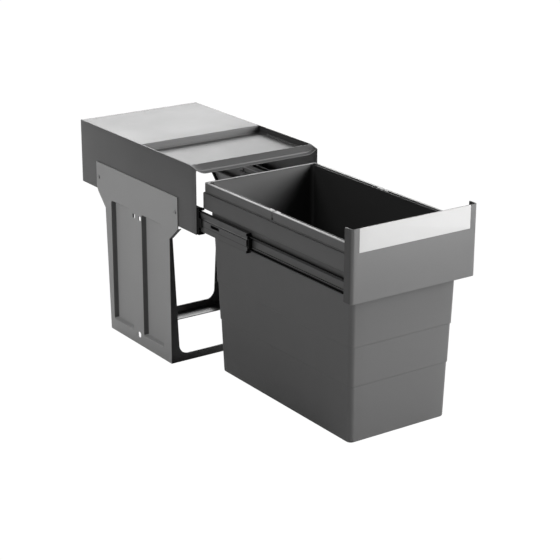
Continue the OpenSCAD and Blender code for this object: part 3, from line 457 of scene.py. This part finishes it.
hood_lo, hood_hi = corners("hood_cover")
mat_lo, mat_hi = corners("tray_liner")
HOOD_X, HOOD_Y0, HOOD_Y1 = hood_hi[0], hood_lo[1], hood_hi[1]
SKIRT_Z, HOOD_Z, TRAY_Z = hood_lo[2], hood_hi[2], mat_lo[2]
SHEET, HEM = 1.2, 2.4
INSIDE_X = HOOD_X - SHEET
BACK_FLANGE = 16.0
TRAY_Y, CREST_Y = mat_hi[1] + 0.6, mat_lo[1] - 4.2
LIP_DROP, LIP_END_DROP, LIP_END_RUN, LIP_END_CURVE = 13.0, 4.5, 19.0, 1.6
# The lip past its crest, corner by corner: distance in front of the crest, and drop below the deck
LIP_CORNERS = [(11.2, 7.4), (13.6, 8.2), (14.6, 10.2)]
RISER_RUN, CREST_RUN, HEM_RUN, HEM_RISE = 4.6, 0.5, 0.7, 0.6
DECK_RADII = [1.8, 1.5, 1.8, 1.8, 1.3, 1.0, 0.9, 0.8]


def lip_side_top(y):
    """Height of the skirt's upper edge: level up to the crest, then falling evenly to the front."""
    return HOOD_Z - LIP_END_DROP * np.clip((CREST_Y - y) / (CREST_Y - HOOD_Y0), 0, 1)


def hood_deck():
    """Bent sheet carried across the width: back flange, deck, riser, tray floor, crest, slope, step and hem.

    Past the crest the line is lifted towards the skirt's upper edge by (1 - d / run) ^ curve of the way, with
    d the distance from the skirt, so that the lip's two ends curve up.
    """
    h = SHEET / 2
    top = HOOD_Z - h
    line = bent_line([
        (HOOD_Y1 - h, HOOD_Z - BACK_FLANGE), (HOOD_Y1 - h, top), (TRAY_Y + h, top), (TRAY_Y + h, TRAY_Z - h),
        (CREST_Y + RISER_RUN, TRAY_Z - h), (CREST_Y + CREST_RUN, top),
        *[(CREST_Y - run, top - drop) for run, drop in LIP_CORNERS],
        (HOOD_Y0 + HEM_RUN, top - LIP_DROP + HEM_RISE)
    ], DECK_RADII)
    d = np.array([0, 0.8, 1.6, 2.6, 3.8, 5, 6.5, 8, 10, 12, 14.5, 17, 19, 28])
    cols = np.concatenate([-1 + d / INSIDE_X, np.linspace(-0.75, 0.75, 9), (1 - d / INSIDE_X)[::-1]])
    gap = INSIDE_X * (1 - np.abs(cols))
    rows = []
    for lift in np.clip(1 - gap / LIP_END_RUN, 0, 1) ** LIP_END_CURVE:
        bent = line.copy()
        past = bent[:, 0] < CREST_Y - CREST_RUN
        bent[past, 1] += np.clip(lip_side_top(bent[past, 0]) - h - bent[past, 1], 0, None) * lift
        rows.append(sheet_outline(bent, SHEET))
    out = np.array(rows).transpose(1, 0, 2)
    half = np.where(out[:, :1, 0] > TRAY_Y + 1.3, HOOD_X - HEM, INSIDE_X)
    points = np.concatenate([(half * cols[None, :])[..., None], out], -1)
    return loft(points, close_rows=True, cap_cols=True)


def hood_skirt(side):
    """Skirt with its folded upper edge: the flat section in X and Z carried along Y."""
    section = rounded([(INSIDE_X, SKIRT_Z), (HOOD_X, SKIRT_Z), (HOOD_X, HOOD_Z), (HOOD_X - HEM, HOOD_Z),
                       (HOOD_X - HEM, HOOD_Z - SHEET), (INSIDE_X, HOOD_Z - SHEET)],
                      [0.35, 0.35, 1.5, 0.02, 0.02, 0.02])
    y = np.array([HOOD_Y0, HOOD_Y0 + 0.3, CREST_Y - 3, CREST_Y, TRAY_Y, HOOD_Y1 - 0.3, HOOD_Y1])
    inset = np.array([0.25, 0, 0, 0, 0, 0, 0.25])
    mid = HOOD_X - SHEET / 2
    flat = np.broadcast_to(section[:, None, :], (len(section), len(y), 2)).copy()
    flat[..., 0] += (mid - flat[..., 0]) * (inset / SHEET)[None, :] * (np.abs(flat[..., 0] - mid) < 0.7)
    flat[..., 1] += np.where(flat[..., 1] > HOOD_Z - 5, lip_side_top(y)[None, :] - HOOD_Z, 0)
    points = np.stack([side * flat[..., 0], np.broadcast_to(y, flat.shape[:2]), flat[..., 1]], -1)
    return loft(points, close_rows=True, cap_cols=True)


piece("hood_sheet", [hood_deck(), hood_skirt(-1), hood_skirt(1)], "cabinet_frame", HOOD,
      ["hood_cover"])


def tray_liner():
    """Liner: a ring whose section is a round bead over a thin edge, and a floor that dips 0.15 mm."""
    y0, y1, x, z = mat_lo[1], mat_hi[1], mat_hi[0], mat_lo[2]
    y_mid, half_y = (y0 + y1) / 2, (y1 - y0) / 2
    bead_z, bead_w, floor_z, edge_w, low_z = z + 3.5, 1.8, z + 1.5, 5.0, z + 0.1
    overlap, dip_deep, corner_r = 0.1, 0.15, 3.0
    sec = rounded([(0, z), (0, bead_z), (bead_w, bead_z), (bead_w, floor_z), (edge_w, floor_z), (edge_w, z)],
                  [0.2, 0.85, 0.85, 0.6, 0.02, 0.02])
    inset = sec[:, 0]
    flat = corner_ring(x - inset, y0 + inset, y1 - inset, np.maximum(corner_r - inset, 0.6))
    ring = with_height(flat, sec[:, 1])
    u = np.linspace(-1, 1, 25)
    floor_in = edge_w - overlap
    gx, gy = np.meshgrid((x - floor_in) * u, y_mid + (half_y - floor_in) * u, indexing="ij")
    dip = dip_deep * (1 - (gx / x) ** 2) * (1 - ((gy - y_mid) / half_y) ** 2)
    top = np.stack([gx, gy, floor_z - dip], -1)
    low = np.stack([gx, gy, np.full_like(gx, low_z)], -1)
    sides = [loft(np.stack([top[0], low[0]])), loft(np.stack([top[-1], low[-1]])),
             loft(np.stack([top[:, 0], low[:, 0]])), loft(np.stack([top[:, -1], low[:, -1]]))]
    return [loft(ring, close_rows=True, close_cols=True), loft(top), loft(low)] + sides


piece("tray_mat", tray_liner(), "cabinet_frame", LINER, ["tray_liner"])

# Stand

STAND_Y0, STAND_Y1 = corners("stand_front_frame")[0][1], corners("stand_rear_frame")[1][1]
SIDE_X = corners("stand_side_right")[1][0]
SIDE_TOP = corners("stand_side_right")[1][2]
FRONT_WIDE_Z, REAR_WIDE_Z, NARROW_Z = 257.0, 262.5, 233.0
FRONT_REACH, REAR_LEAN, REAR_REACH, FLANGE_W = 28.0, 9.0, 39.0, 6.5
STAND_SHEET = 1.5
PAN_DEEP, PAN_RUN, PAN_CORNER, PAN_W, PAN_Z0, PAN_Z1 = 8.0, 3.8, 5.0, 70.0, 22.0, 252.0
PAN_SETBACK, PAN_GAP, HOLE_LEAD = 25.5, 38.0, 2.5
PAN_YS = (STAND_Y0 + PAN_SETBACK, STAND_Y0 + PAN_SETBACK + PAN_W + PAN_GAP)
LAND_Y = STAND_Y0 + PAN_SETBACK + PAN_W + PAN_GAP / 2 - HOLE_LEAD
HOLE_HALF, HOLE_SHIFT, HOLE_Z = 4.0, 10.165, 243.0
FOOT_HOLE_R, FOOT_HOLE_Z, FOOT_PATCH = 5.75, 19.5, 9.0


def soft_step(t):
    """Smooth step: t * t * (3 - 2 t) between 0 and 1."""
    t = np.clip(t, 0, 1)
    return t * t * (3 - 2 * t)


def pressed_depth(y, z):
    """Depth of the two pressed pans: a soft step over the distance in from a rectangle with round corners."""
    deep = np.zeros_like(y)
    half_z, mid_z = (PAN_Z1 - PAN_Z0) / 2, (PAN_Z1 + PAN_Z0) / 2
    for y0 in PAN_YS:
        qy = np.abs(y - y0 - PAN_W / 2) - PAN_W / 2 + PAN_CORNER
        qz = np.abs(z - mid_z) - half_z + PAN_CORNER
        past_corner = np.hypot(np.maximum(qy, 0), np.maximum(qz, 0))
        inside = PAN_CORNER - past_corner - np.minimum(np.maximum(qy, qz), 0)
        deep = np.maximum(deep, soft_step(inside / PAN_RUN))
    return PAN_DEEP * deep


def stand_side(side):
    """Pressed side panel as a height field over Y and Z.

    Between the frames the columns are straight; outside them they spread to the panel's slanted and flared
    edges. The cells of the two square holes are left out, and a fan of cells leads to the round hole.
    """
    steps = np.array([0, 0.55, 1.1, 1.65, 2.2, 2.75, 3.3, 3.85, 4.7, 6.0])
    flanks = np.concatenate([np.concatenate([y0 + steps, y0 + PAN_W - steps]) for y0 in PAN_YS])
    hole_ys = [LAND_Y + a * HOLE_SHIFT + b * HOLE_HALF for a in (-1, 1) for b in (-1, 1)]
    keep_y = [LAND_Y - FOOT_PATCH, LAND_Y + FOOT_PATCH] + hole_ys
    keep_z = [FOOT_HOLE_Z - FOOT_PATCH, FOOT_HOLE_Z + FOOT_PATCH, HOLE_Z - HOLE_HALF, HOLE_Z + HOLE_HALF,
              NARROW_Z]
    ys = np.concatenate([np.linspace(STAND_Y0, STAND_Y1, 30), flanks, keep_y])
    zs = np.concatenate([np.linspace(0, SIDE_TOP, 40), PAN_Z0 + steps, PAN_Z1 - steps, keep_z])

    def tidy(values, keep):
        v = np.unique(np.round(values, 3))
        near = np.min(np.abs(v[:, None] - np.array(keep)[None, :]), 1)
        return np.sort(np.concatenate([v[near > 0.35], np.unique(np.round(keep, 3))]))

    ys, zs = tidy(ys, keep_y + [STAND_Y0, STAND_Y1]), tidy(zs, keep_z + [0, SIDE_TOP])
    front_reach = np.array([0, 0, FRONT_REACH, FRONT_REACH])
    back_reach = np.array([0, REAR_LEAN, REAR_REACH, REAR_REACH])
    front = np.interp(zs, [0, NARROW_Z, FRONT_WIDE_Z, SIDE_TOP], STAND_Y0 - front_reach)[:, None]
    back = np.interp(zs, [0, NARROW_Z, REAR_WIDE_Z, SIDE_TOP], STAND_Y1 + back_reach)[:, None]
    w = np.array([0, 0.35, 0.7])[None, :]
    y = np.concatenate([front + (STAND_Y0 - front) * w, np.broadcast_to(ys, (len(zs), len(ys))),
                        (back + (STAND_Y1 - back) * w)[:, ::-1]], 1)
    z = np.broadcast_to(zs[:, None], y.shape)
    points = np.stack([side * (SIDE_X - pressed_depth(y, z)), y, z], -1)
    rows, cols = y.shape
    faces = grid_faces(rows, cols)
    mid = points.reshape(-1, 3)[faces].mean(1)
    from_land, from_hole = mid[:, 1] - LAND_Y, np.abs(mid[:, 2] - HOLE_Z)
    hole = np.zeros(len(faces), bool)
    for s in (-1, 1):
        hole |= (np.abs(from_land - s * HOLE_SHIFT) < HOLE_HALF) & (from_hole < HOLE_HALF)
    patch = (np.abs(from_land) < FOOT_PATCH) & (np.abs(mid[:, 2] - FOOT_HOLE_Z) < FOOT_PATCH)
    parts = [(points, faces[~(hole | patch)].tolist())]
    py = ys[(ys >= LAND_Y - FOOT_PATCH - 0.01) & (ys <= LAND_Y + FOOT_PATCH + 0.01)]
    pz = zs[(zs >= FOOT_HOLE_Z - FOOT_PATCH - 0.01) & (zs <= FOOT_HOLE_Z + FOOT_PATCH + 0.01)]
    low, high = (np.stack([py, np.full(len(py), z)], 1) for z in (pz[0], pz[-1]))
    left, right = (np.stack([np.full(len(pz), y), pz], 1) for y in (py[0], py[-1]))
    rim = np.concatenate([low[:-1], right[:-1], high[::-1][:-1], left[::-1][:-1]])
    middle = np.array([LAND_Y, FOOT_HOLE_Z])
    rel = rim - middle
    circle = rel / np.linalg.norm(rel, axis=1)[:, None] * FOOT_HOLE_R + middle
    u = np.array([0, 0.5, 1.0])[:, None, None]
    fan = rim[None] * (1 - u) + circle[None] * u
    fan = np.stack([np.full(fan.shape[:2], side * SIDE_X), fan[..., 0], fan[..., 1]], -1)
    parts.append(loft(fan, close_cols=True))
    return parts


def slope_flange(side, y0, z0, y1, z1, inward):
    """Flange bent inwards along a sloped edge: a strip between the edge and its copy further in."""
    u = np.linspace(0, 1, 8)
    y, z = y0 + (y1 - y0) * u, z0 + (z1 - z0) * u
    out = np.stack([np.full(8, side * (SIDE_X - STAND_SHEET)), y, z], -1)
    inner = out - np.array([side * FLANGE_W, 0, 0])
    thick = [0, inward * STAND_SHEET, 0]
    strip = np.stack([out, inner, inner + thick, out + thick])
    return loft(strip, close_rows=True, cap_cols=True)


for side, word in ((-1, "left"), (1, "right")):
    piece("stand_panel_" + word, stand_side(side), "cabinet_frame", STAND,
          ["stand_side_" + word], sharp=60, bevel=0.3, sheet=STAND_SHEET, outward=side)
    # The inward flanges along the sloped edges are bent from the side panel's own sheet; their near-black
    # frame paint is painted shade.
    flanges = [slope_flange(side, STAND_Y0, NARROW_Z, STAND_Y0 - FRONT_REACH, FRONT_WIDE_Z, 1),
               slope_flange(side, STAND_Y1 + REAR_LEAN, NARROW_Z, STAND_Y1 + REAR_REACH, REAR_WIDE_Z, -1)]
    piece("stand_flange_" + word, flanges, "cabinet_frame", FRAME, bevel=0.2)

# Front of the drawer

panel_lo, panel_hi = corners("front_panel")
strip_lo, strip_hi = corners("trim_strip")
PANEL_X, PANEL_Y0, PANEL_Y1 = panel_hi[0], panel_lo[1], panel_hi[1]
PANEL_Z0, PANEL_Z1 = panel_lo[2], panel_hi[2]
PANEL_WALL, PANEL_R = 2.6, 6.0
STRIP_X, STRIP_Z, STRIP_DEEP = strip_hi[0], strip_lo[2], 1.2


def front_shell():
    """Front panel: the wall's section carried along a U with rounded corners.

    Where the path runs behind the strip, the section's outer face is set back by the strip's thickness.
    """
    w = PANEL_WALL
    d = STRIP_DEEP
    step_z = STRIP_Z + 0.02
    pocket = rounded([(0, PANEL_Z0), (0, STRIP_Z), (d, step_z), (d, PANEL_Z1), (w, PANEL_Z1), (w, PANEL_Z0)],
                     [0.9, 0.01, 0.01, 0.05, 0.5, 0.7])
    plain = rounded([(0, PANEL_Z0), (0, STRIP_Z), (0, step_z), (0, PANEL_Z1), (w, PANEL_Z1), (w, PANEL_Z0)],
                    [0.9, 0.01, 0.01, 0.9, 0.7, 0.7])
    a = np.linspace(0, math.pi / 2, 12)
    inset = plain[:, :1]
    back = [PANEL_Y1, PANEL_Y1 - 0.4, PANEL_Y1 - 4, PANEL_Y0 + PANEL_R + 1.0]
    back = np.broadcast_to(back, (len(plain), len(back)))
    end = np.stack([np.broadcast_to(PANEL_X - inset, back.shape), back], -1)
    r = PANEL_R - inset
    bend = np.stack([PANEL_X - PANEL_R + r * np.cos(a), PANEL_Y0 + PANEL_R - r * np.sin(a)], -1)
    last = np.stack([np.full((len(plain), 1), STRIP_X + 0.02), PANEL_Y0 + inset], -1)
    corner = np.concatenate([end, bend, last], 1)
    across = np.broadcast_to(np.linspace(-1, 1, 15) * STRIP_X, (len(pocket), 15))
    middle = np.stack([across, np.broadcast_to(PANEL_Y0 + pocket[:, :1], across.shape)], -1)
    cols = [with_height(corner * np.array([-1.0, 1.0]), plain[:, 1]), with_height(middle, pocket[:, 1]),
            with_height(corner[:, ::-1], plain[:, 1])]
    return loft(np.concatenate(cols, 1), close_rows=True, cap_cols=True)


piece("front_shell", [front_shell()], "drawer", PANEL, ["front_panel"], sharp=40)


def pale_strip():
    """Strip: a rounded rectangle in X and Z, its rows stepping back and out over the rounded front edge."""
    z_mid, half_z = (STRIP_Z + PANEL_Z1) / 2, (PANEL_Z1 - STRIP_Z) / 2
    a = np.linspace(0, math.pi / 2, 6)
    edge, clear = 0.45, 0.05
    inset = np.concatenate([[0.0, 0.0], edge * (1 - np.cos(a))[1:]])
    back = np.concatenate([[STRIP_DEEP, edge], edge * (1 - np.sin(a))[1:]])
    ring = corner_ring(STRIP_X - clear - inset, z_mid - half_z + clear + inset, z_mid + half_z - inset,
                       0.9 - inset * 0.5, steps=5)
    depth = np.broadcast_to((PANEL_Y0 + back)[:, None], ring.shape[:2])
    points = np.stack([ring[..., 0], depth, ring[..., 1]], -1)
    return loft(points, close_cols=True, cap_rows=True)


piece("pale_strip", [pale_strip()], "drawer", STRIP, ["trim_strip"])

# Collar, bin and handles

collar_lo, collar_hi = corners("carrier_collar")
COLLAR_X, COLLAR_Y0, COLLAR_Y1 = collar_hi[0], collar_lo[1], collar_hi[1]
COLLAR_Z0, COLLAR_Z1 = collar_lo[2], collar_hi[2]
RIM_IN, RIM_RISE = 2.2, 2.5
RIM_X, RIM_Y0, RIM_Y1 = COLLAR_X - RIM_IN, COLLAR_Y0 + RIM_IN, COLLAR_Y1 - RIM_IN
BIN_SIDE_IN, BIN_FRONT_IN, BIN_BACK_IN = 10.0, 5.5, 4.2
BIN_X, BIN_Y0, BIN_Y1 = COLLAR_X - BIN_SIDE_IN, RIM_Y0 + BIN_FRONT_IN, RIM_Y1 - BIN_BACK_IN
BIN_Z0, BIN_TOP = corners("bin")[0][2], corners("bin")[1][2]
RIM_Z = COLLAR_Z1 + RIM_RISE
BIN_LEAN, BIN_BACK_LEAN, BIN_STEP = 7.5, 17.8, 1.0
STEP_Z1, STEP_Z2, BIN_WALL, BIN_R, RIM_R = 117.0, 183.0, 2.0, 9.0, 3.0
# Outside of a step: height from the step with the way in, row by row below it, and the heights above it
STEP_BELOW, STEP_ABOVE = [(-1.4, 0), (-0.5, 0), (-0.2, -0.25), (0, -0.75)], [0.4, 3]
# Inside of a step: height from the step, way in past the wall, and levels down, row by row from above
STEP_INSIDE = [(1.2, 0, 0), (-0.4, 0.9, 0), (-2, 0, 1)]
# Hanging rim, row by row: height and way in
RIM_ROWS = [(COLLAR_Z1 + 0.02, 0.5), (COLLAR_Z1 + 0.6, 0.0), (RIM_Z - 0.6, 0.0), (RIM_Z - 0.02, 0.5)]
BIN_FOOT_R, BIN_LIP = 2.5, 0.9


def collar_ring():
    """Collar: its section, an outer band over a ledge, carried round a rounded rectangle."""
    z0, z1, wall, ledge_w, foot_w = COLLAR_Z0, COLLAR_Z1, 2, 8.7, 4.3
    front_ledge_w, back_ledge_w, corner_r, corner_r_inside, ledge_t = 6.4, 5.2, 2.5, 1.5, 2.5
    ledge_z, foot_z = z1 - ledge_t, z0 + wall
    sec = rounded([(0, z0), (0, z1), (ledge_w, z1), (ledge_w, ledge_z), (wall, ledge_z), (wall, foot_z),
                   (foot_w, foot_z), (foot_w, z0)], [1.6, 1.8, 0.5, 0.4, 0.4, 0.4, 0.3, 0.3])
    inset, z = sec[:, 0], sec[:, 1]
    front = np.minimum(inset, front_ledge_w)
    back = np.minimum(inset, back_ledge_w)
    r = np.maximum(corner_r - inset * 0.25, corner_r_inside)
    ring = corner_ring(COLLAR_X - inset, COLLAR_Y0 + front, COLLAR_Y1 - back, r)
    return loft(with_height(ring, z), close_rows=True, close_cols=True)


piece("collar_band", [collar_ring()], "drawer", COLLAR, ["carrier_collar"])


def bin_shell():
    """Bin: rounded rectangles stacked up the outside, over the hanging rim and the lip, and down inside.

    At height z the wall has come in from the top by (1 - share) times the lean, with share running from 0 at
    the foot to 1 at the top, and by one step below each step height.
    """
    def row(z, extra, r, level):
        share = (z - BIN_Z0) / (BIN_TOP - BIN_Z0)
        side = (1 - share) * BIN_LEAN + level * BIN_STEP + extra
        back = (1 - share) * BIN_BACK_LEAN + level * BIN_STEP + extra
        return BIN_X - side, BIN_Y0 + side, BIN_Y1 - back, r, z

    b, lip, w = BIN_FOOT_R, BIN_LIP, BIN_WALL
    r_in = BIN_R - w
    a = np.linspace(0, math.pi / 2, 5)
    rows = [row(BIN_Z0 + b * (1 - math.cos(t)) * 0.9, b * (1 - math.sin(t)), 7.0 + 2.0 * math.sin(t), 2)
            for t in a]
    for step_z, level in ((STEP_Z1, 2), (STEP_Z2, 1)):
        rows += [row(step_z + up, extra, BIN_R, level) for up, extra in STEP_BELOW]
        rows += [row(step_z + up, 0, BIN_R, level - 1) for up in STEP_ABOVE]
    rows += [row(COLLAR_Z1 - 0.6, 0, BIN_R, 0), row(COLLAR_Z1, -0.5, BIN_R, 0)]
    rows += [(RIM_X - inset, RIM_Y0 + inset, RIM_Y1 - inset, RIM_R, z) for z, inset in RIM_ROWS]
    rows += [row(RIM_Z, -0.4, BIN_R, 0), row(RIM_Z + 0.5, 0, BIN_R, 0), row(BIN_TOP - lip, 0, BIN_R, 0)]
    for t in np.linspace(0, math.pi, 7)[1:-1]:
        rows.append(row(BIN_TOP - lip + lip * math.sin(t), 1.0 - math.cos(t), BIN_R - 1 + math.cos(t), 0))
    rows.append(row(BIN_TOP - lip, w, r_in, 0))
    for step_z, level in ((STEP_Z2, 0), (STEP_Z1, 1)):
        rows += [row(step_z + up, w + extra, r_in, level + down) for up, extra, down in STEP_INSIDE]
    rows += [row(BIN_Z0 + w + b * (1 - math.cos(t)), w + b * (1 - math.sin(t)), 4.0 + 3.0 * math.sin(t), 2)
             for t in a[::-1]]
    x, y0, y1, r, z = np.array(rows).T
    return loft(with_height(corner_ring(x, y0, y1, r, steps=10, sides=8), z), close_cols=True, cap_rows=True)


piece("bin_shell", [bin_shell()], "drawer", BIN, ["bin"], sharp=50)

BAIL_GAP, BAIL_WALL, BAIL_TOP, BAIL_IN, BAIL_CUT, SLOT_R = 1.6, 2.0, 2.0, 7.5, 3.5, 2.5
BAIL_FRONT_IN, BAIL_REAR_IN, BAIL_FILLED, SPLIT_BACK = 5.2, 3.9, 12.1, 2.5
SPLIT_Y = (RIM_Y0 + RIM_Y1) / 2 + SPLIT_BACK


def handle(front):
    """Carrying handle: an L section round half of the rim, filled at its ends.

    At a height z an end lies sqrt(r * r - (z - zc) ^ 2) from the split where the round slot is, half the gap
    elsewhere, and it draws back on a quarter circle at the top.
    """
    way = -1 if front else 1
    far = RIM_Y0 if front else RIM_Y1
    z0, z1, w, step = RIM_Z, RIM_TOP, BAIL_WALL, 4
    rise = np.concatenate([[z0], z0 + SLOT_R * np.array([0.2, 0.6, 1.0, 1.4, 1.8, 2.1]),
                           [z1 - BAIL_CUT, z1 - BAIL_TOP, z1]])
    soft_out, soft_in = np.full(len(rise), 0.01), np.full(len(rise), 0.01)
    soft_out[[0, -1]], soft_in[[0, -1]] = (0.4, 1.5), (0.4, 0.6)
    into = np.where(rise > z1 - BAIL_TOP - 0.01, BAIL_IN, w)
    into[-2] = w
    sec = rounded(np.concatenate([np.stack([0 * rise, rise], 1), np.stack([into, rise], 1)[::-1]]),
                  np.concatenate([soft_out, soft_in[::-1]]), steps=step)
    inset, z = sec[:, :1], sec[:, 1]
    far_in = np.minimum(inset, BAIL_FRONT_IN if front else BAIL_REAR_IN)
    slot = np.sqrt(np.clip(SLOT_R ** 2 - (z - z0 - SLOT_R) ** 2, 0, None))
    top = np.clip(z - z1 + BAIL_CUT, 0, BAIL_CUT)
    draw = np.maximum(slot - BAIL_GAP / 2, 0) + BAIL_CUT - np.sqrt(np.clip(BAIL_CUT ** 2 - top ** 2, 0, None))
    edge = SPLIT_Y + way * BAIL_GAP / 2
    near = np.concatenate([np.linspace(0, 5, 7), [7, 9.5, 12, 12.2]])
    n = 34
    ring = half_ring(RIM_X - inset, edge, far - way * far_in, np.maximum(RIM_R - inset, 1.2), sides=n)
    run = np.abs(ring[:, n - 1, 1] - edge)
    s = np.concatenate([near, np.linspace(16, 190, n - 1 - len(near))])
    s = np.minimum(s[None, :] + draw[:, None] * np.clip(1 - s / 8, 0, 1)[None, :], run[:, None] - 0.2)
    end = np.arange(n - 1) < (near < BAIL_FILLED).sum()
    solid = end[None, :] & (inset > w - 0.01)
    for cols in (np.arange(n - 1), -1 - np.arange(n - 1)):
        ring[:, cols, 1] = edge + way * s
        ring[:, cols, 0] = np.where(solid, np.sign(ring[:, cols, 0]) * (RIM_X - BAIL_IN), ring[:, cols, 0])
    points, faces = loft(with_height(ring, z), close_rows=True)
    rows, cols = ring.shape[:2]
    i = np.arange(rows // 2 - 1)
    for c in (0, cols - 1):
        faces += (np.stack([i, i + 1, rows - 2 - i, rows - 1 - i], 1) * cols + c).tolist()
    return points, faces


piece("handle_front", [handle(True)], "drawer", HANDLE, ["front_bail"], sharp=40)
piece("handle_rear", [handle(False)], "drawer", HANDLE, ["rear_bail"], sharp=40)

# CAD nodes that stay

stay = {"stand_front_frame": FRAME, "stand_rear_frame": FRAME, "hood_screws": STAND, "rail_rivets": SLIDE,
        "panel_screws": SCREW, "bail_pins": BLACK}
pairs = {"slide_outer_": SLIDE, "slide_middle_": MIDDLE, "slide_inner_": DRAWN, "slide_bumper_": BLACK,
         "middle_stop_": BLACK, "cage_outer_": BLACK, "cage_inner_": BLACK, "balls_outer_": BALL,
         "balls_inner_": BALL, "side_rail_": RAIL, "panel_bracket_": RAIL}
for word in ("left", "right"):
    for node, paint in pairs.items():
        stay[node + word] = paint
for node, paint in stay.items():
    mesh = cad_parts[node].data
    mesh.materials.clear()
    mesh.materials.append(paint)

# Floor, light and camera

BACKDROP, SKY = 1.02, 0.05
FLOOR_HALF, FLOOR_DROP = 9.0, 0.0006


def floor_paint():
    """Pale floor: white to the camera, a dimmer matt grey to the light that bounces off it."""
    m = bpy.data.materials.new("pale_floor")
    m.use_nodes = True
    t = m.node_tree
    t.nodes.clear()
    out, mix = t.nodes.new("ShaderNodeOutputMaterial"), t.nodes.new("ShaderNodeMixShader")
    glow, matt = t.nodes.new("ShaderNodeEmission"), t.nodes.new("ShaderNodeBsdfDiffuse")
    path = t.nodes.new("ShaderNodeLightPath")
    glow.inputs["Color"].default_value = (1, 1, 1, 1)
    glow.inputs["Strength"].default_value = BACKDROP
    matt.inputs["Color"].default_value = (0.8, 0.8, 0.8, 1)
    wire(t, (path.outputs["Is Camera Ray"], mix.inputs[0]), (matt.outputs[0], mix.inputs[1]),
         (glow.outputs[0], mix.inputs[2]), (mix.outputs[0], out.inputs["Surface"]))
    return m


floor_mesh = bpy.data.meshes.new("floor")
square = ((-1, -1), (1, -1), (1, 1), (-1, 1))
floor_corners = [(x * FLOOR_HALF, y * FLOOR_HALF, -FLOOR_DROP) for x, y in square]
floor_mesh.from_pydata(floor_corners, [], [(0, 1, 2, 3)])
floor = bpy.data.objects.new("floor", floor_mesh)
floor_mesh.materials.append(floor_paint())
bpy.context.scene.collection.objects.link(floor)

world = bpy.data.worlds.new("studio")
bpy.context.scene.world = world
world.use_nodes = True
wt = world.node_tree
wt.nodes.clear()
sky, plain, blend, wout = (wt.nodes.new("ShaderNodeBackground"), wt.nodes.new("ShaderNodeBackground"),
                           wt.nodes.new("ShaderNodeMixShader"), wt.nodes.new("ShaderNodeOutputWorld"))
seen = wt.nodes.new("ShaderNodeLightPath")
sky.inputs["Strength"].default_value = SKY
plain.inputs["Strength"].default_value = BACKDROP
for n in (sky, plain):
    n.inputs["Color"].default_value = (1, 1, 1, 1)
wire(wt, (seen.outputs["Is Camera Ray"], blend.inputs[0]), (sky.outputs[0], blend.inputs[1]),
     (plain.outputs[0], blend.inputs[2]), (blend.outputs[0], wout.inputs["Surface"]))


def soft_box(name, place, target, size, power):
    """A rectangular studio light at a place, turned to its target: metres, and power in watts."""
    data = bpy.data.lights.new(name, "AREA")
    data.shape, data.size, data.size_y, data.energy = "RECTANGLE", size[0], size[1], power
    obj = bpy.data.objects.new(name, data)
    obj.location = place
    obj.rotation_euler = (Vector(target) - Vector(place)).to_track_quat("-Z", "Y").to_euler()
    bpy.context.scene.collection.objects.link(obj)


soft_box("back_key", place=(1.0, 3.0, 1.9), target=(0, 0, 0.3), size=(3.0, 1.6), power=110)
soft_box("front_light", place=(2.0, -2.5, 1.2), target=(0, -0.4, 0.2), size=(2.4, 1.4), power=120)
soft_box("low_side_light", place=(-2.6, -0.5, 0.16), target=(0, -0.2, 0.2), size=(3.0, 0.3), power=7.5)
soft_box("high_side_light", place=(-2.2, 0.3, 1.7), target=(0, -0.1, 0.3), size=(1.2, 0.8), power=12)

bpy.context.scene.view_settings.view_transform = "Standard"
bpy.context.scene.view_settings.look = "None"

# Camera fitted to the photograph: focal length and picture width in pixels, place in metres, turns in degrees
FOCAL, PICTURE, SENSOR = 1647.0, 560.0, 36.0
CAMERA_PLACE, YAW, PITCH, ROLL = (-1.5173, -2.4341, 1.1133), 34.92, 19.45, 0.26
lens = bpy.data.cameras.new("camera")
lens.sensor_width, lens.lens = SENSOR, FOCAL / PICTURE * SENSOR
lens.clip_end = 50.0
camera = bpy.data.objects.new("camera", lens)
yaw, pitch, roll = math.radians(YAW), math.radians(PITCH), math.radians(ROLL)
ahead = Vector((math.sin(yaw) * math.cos(pitch), math.cos(yaw) * math.cos(pitch), -math.sin(pitch)))
camera.location = CAMERA_PLACE
turn = ahead.to_track_quat("-Z", "Y").to_matrix()
tilt = turn @ Matrix.Rotation(roll, 3, "Z")
camera.rotation_euler = tilt.to_euler()
bpy.context.scene.collection.objects.link(camera)
bpy.context.scene.camera = camera
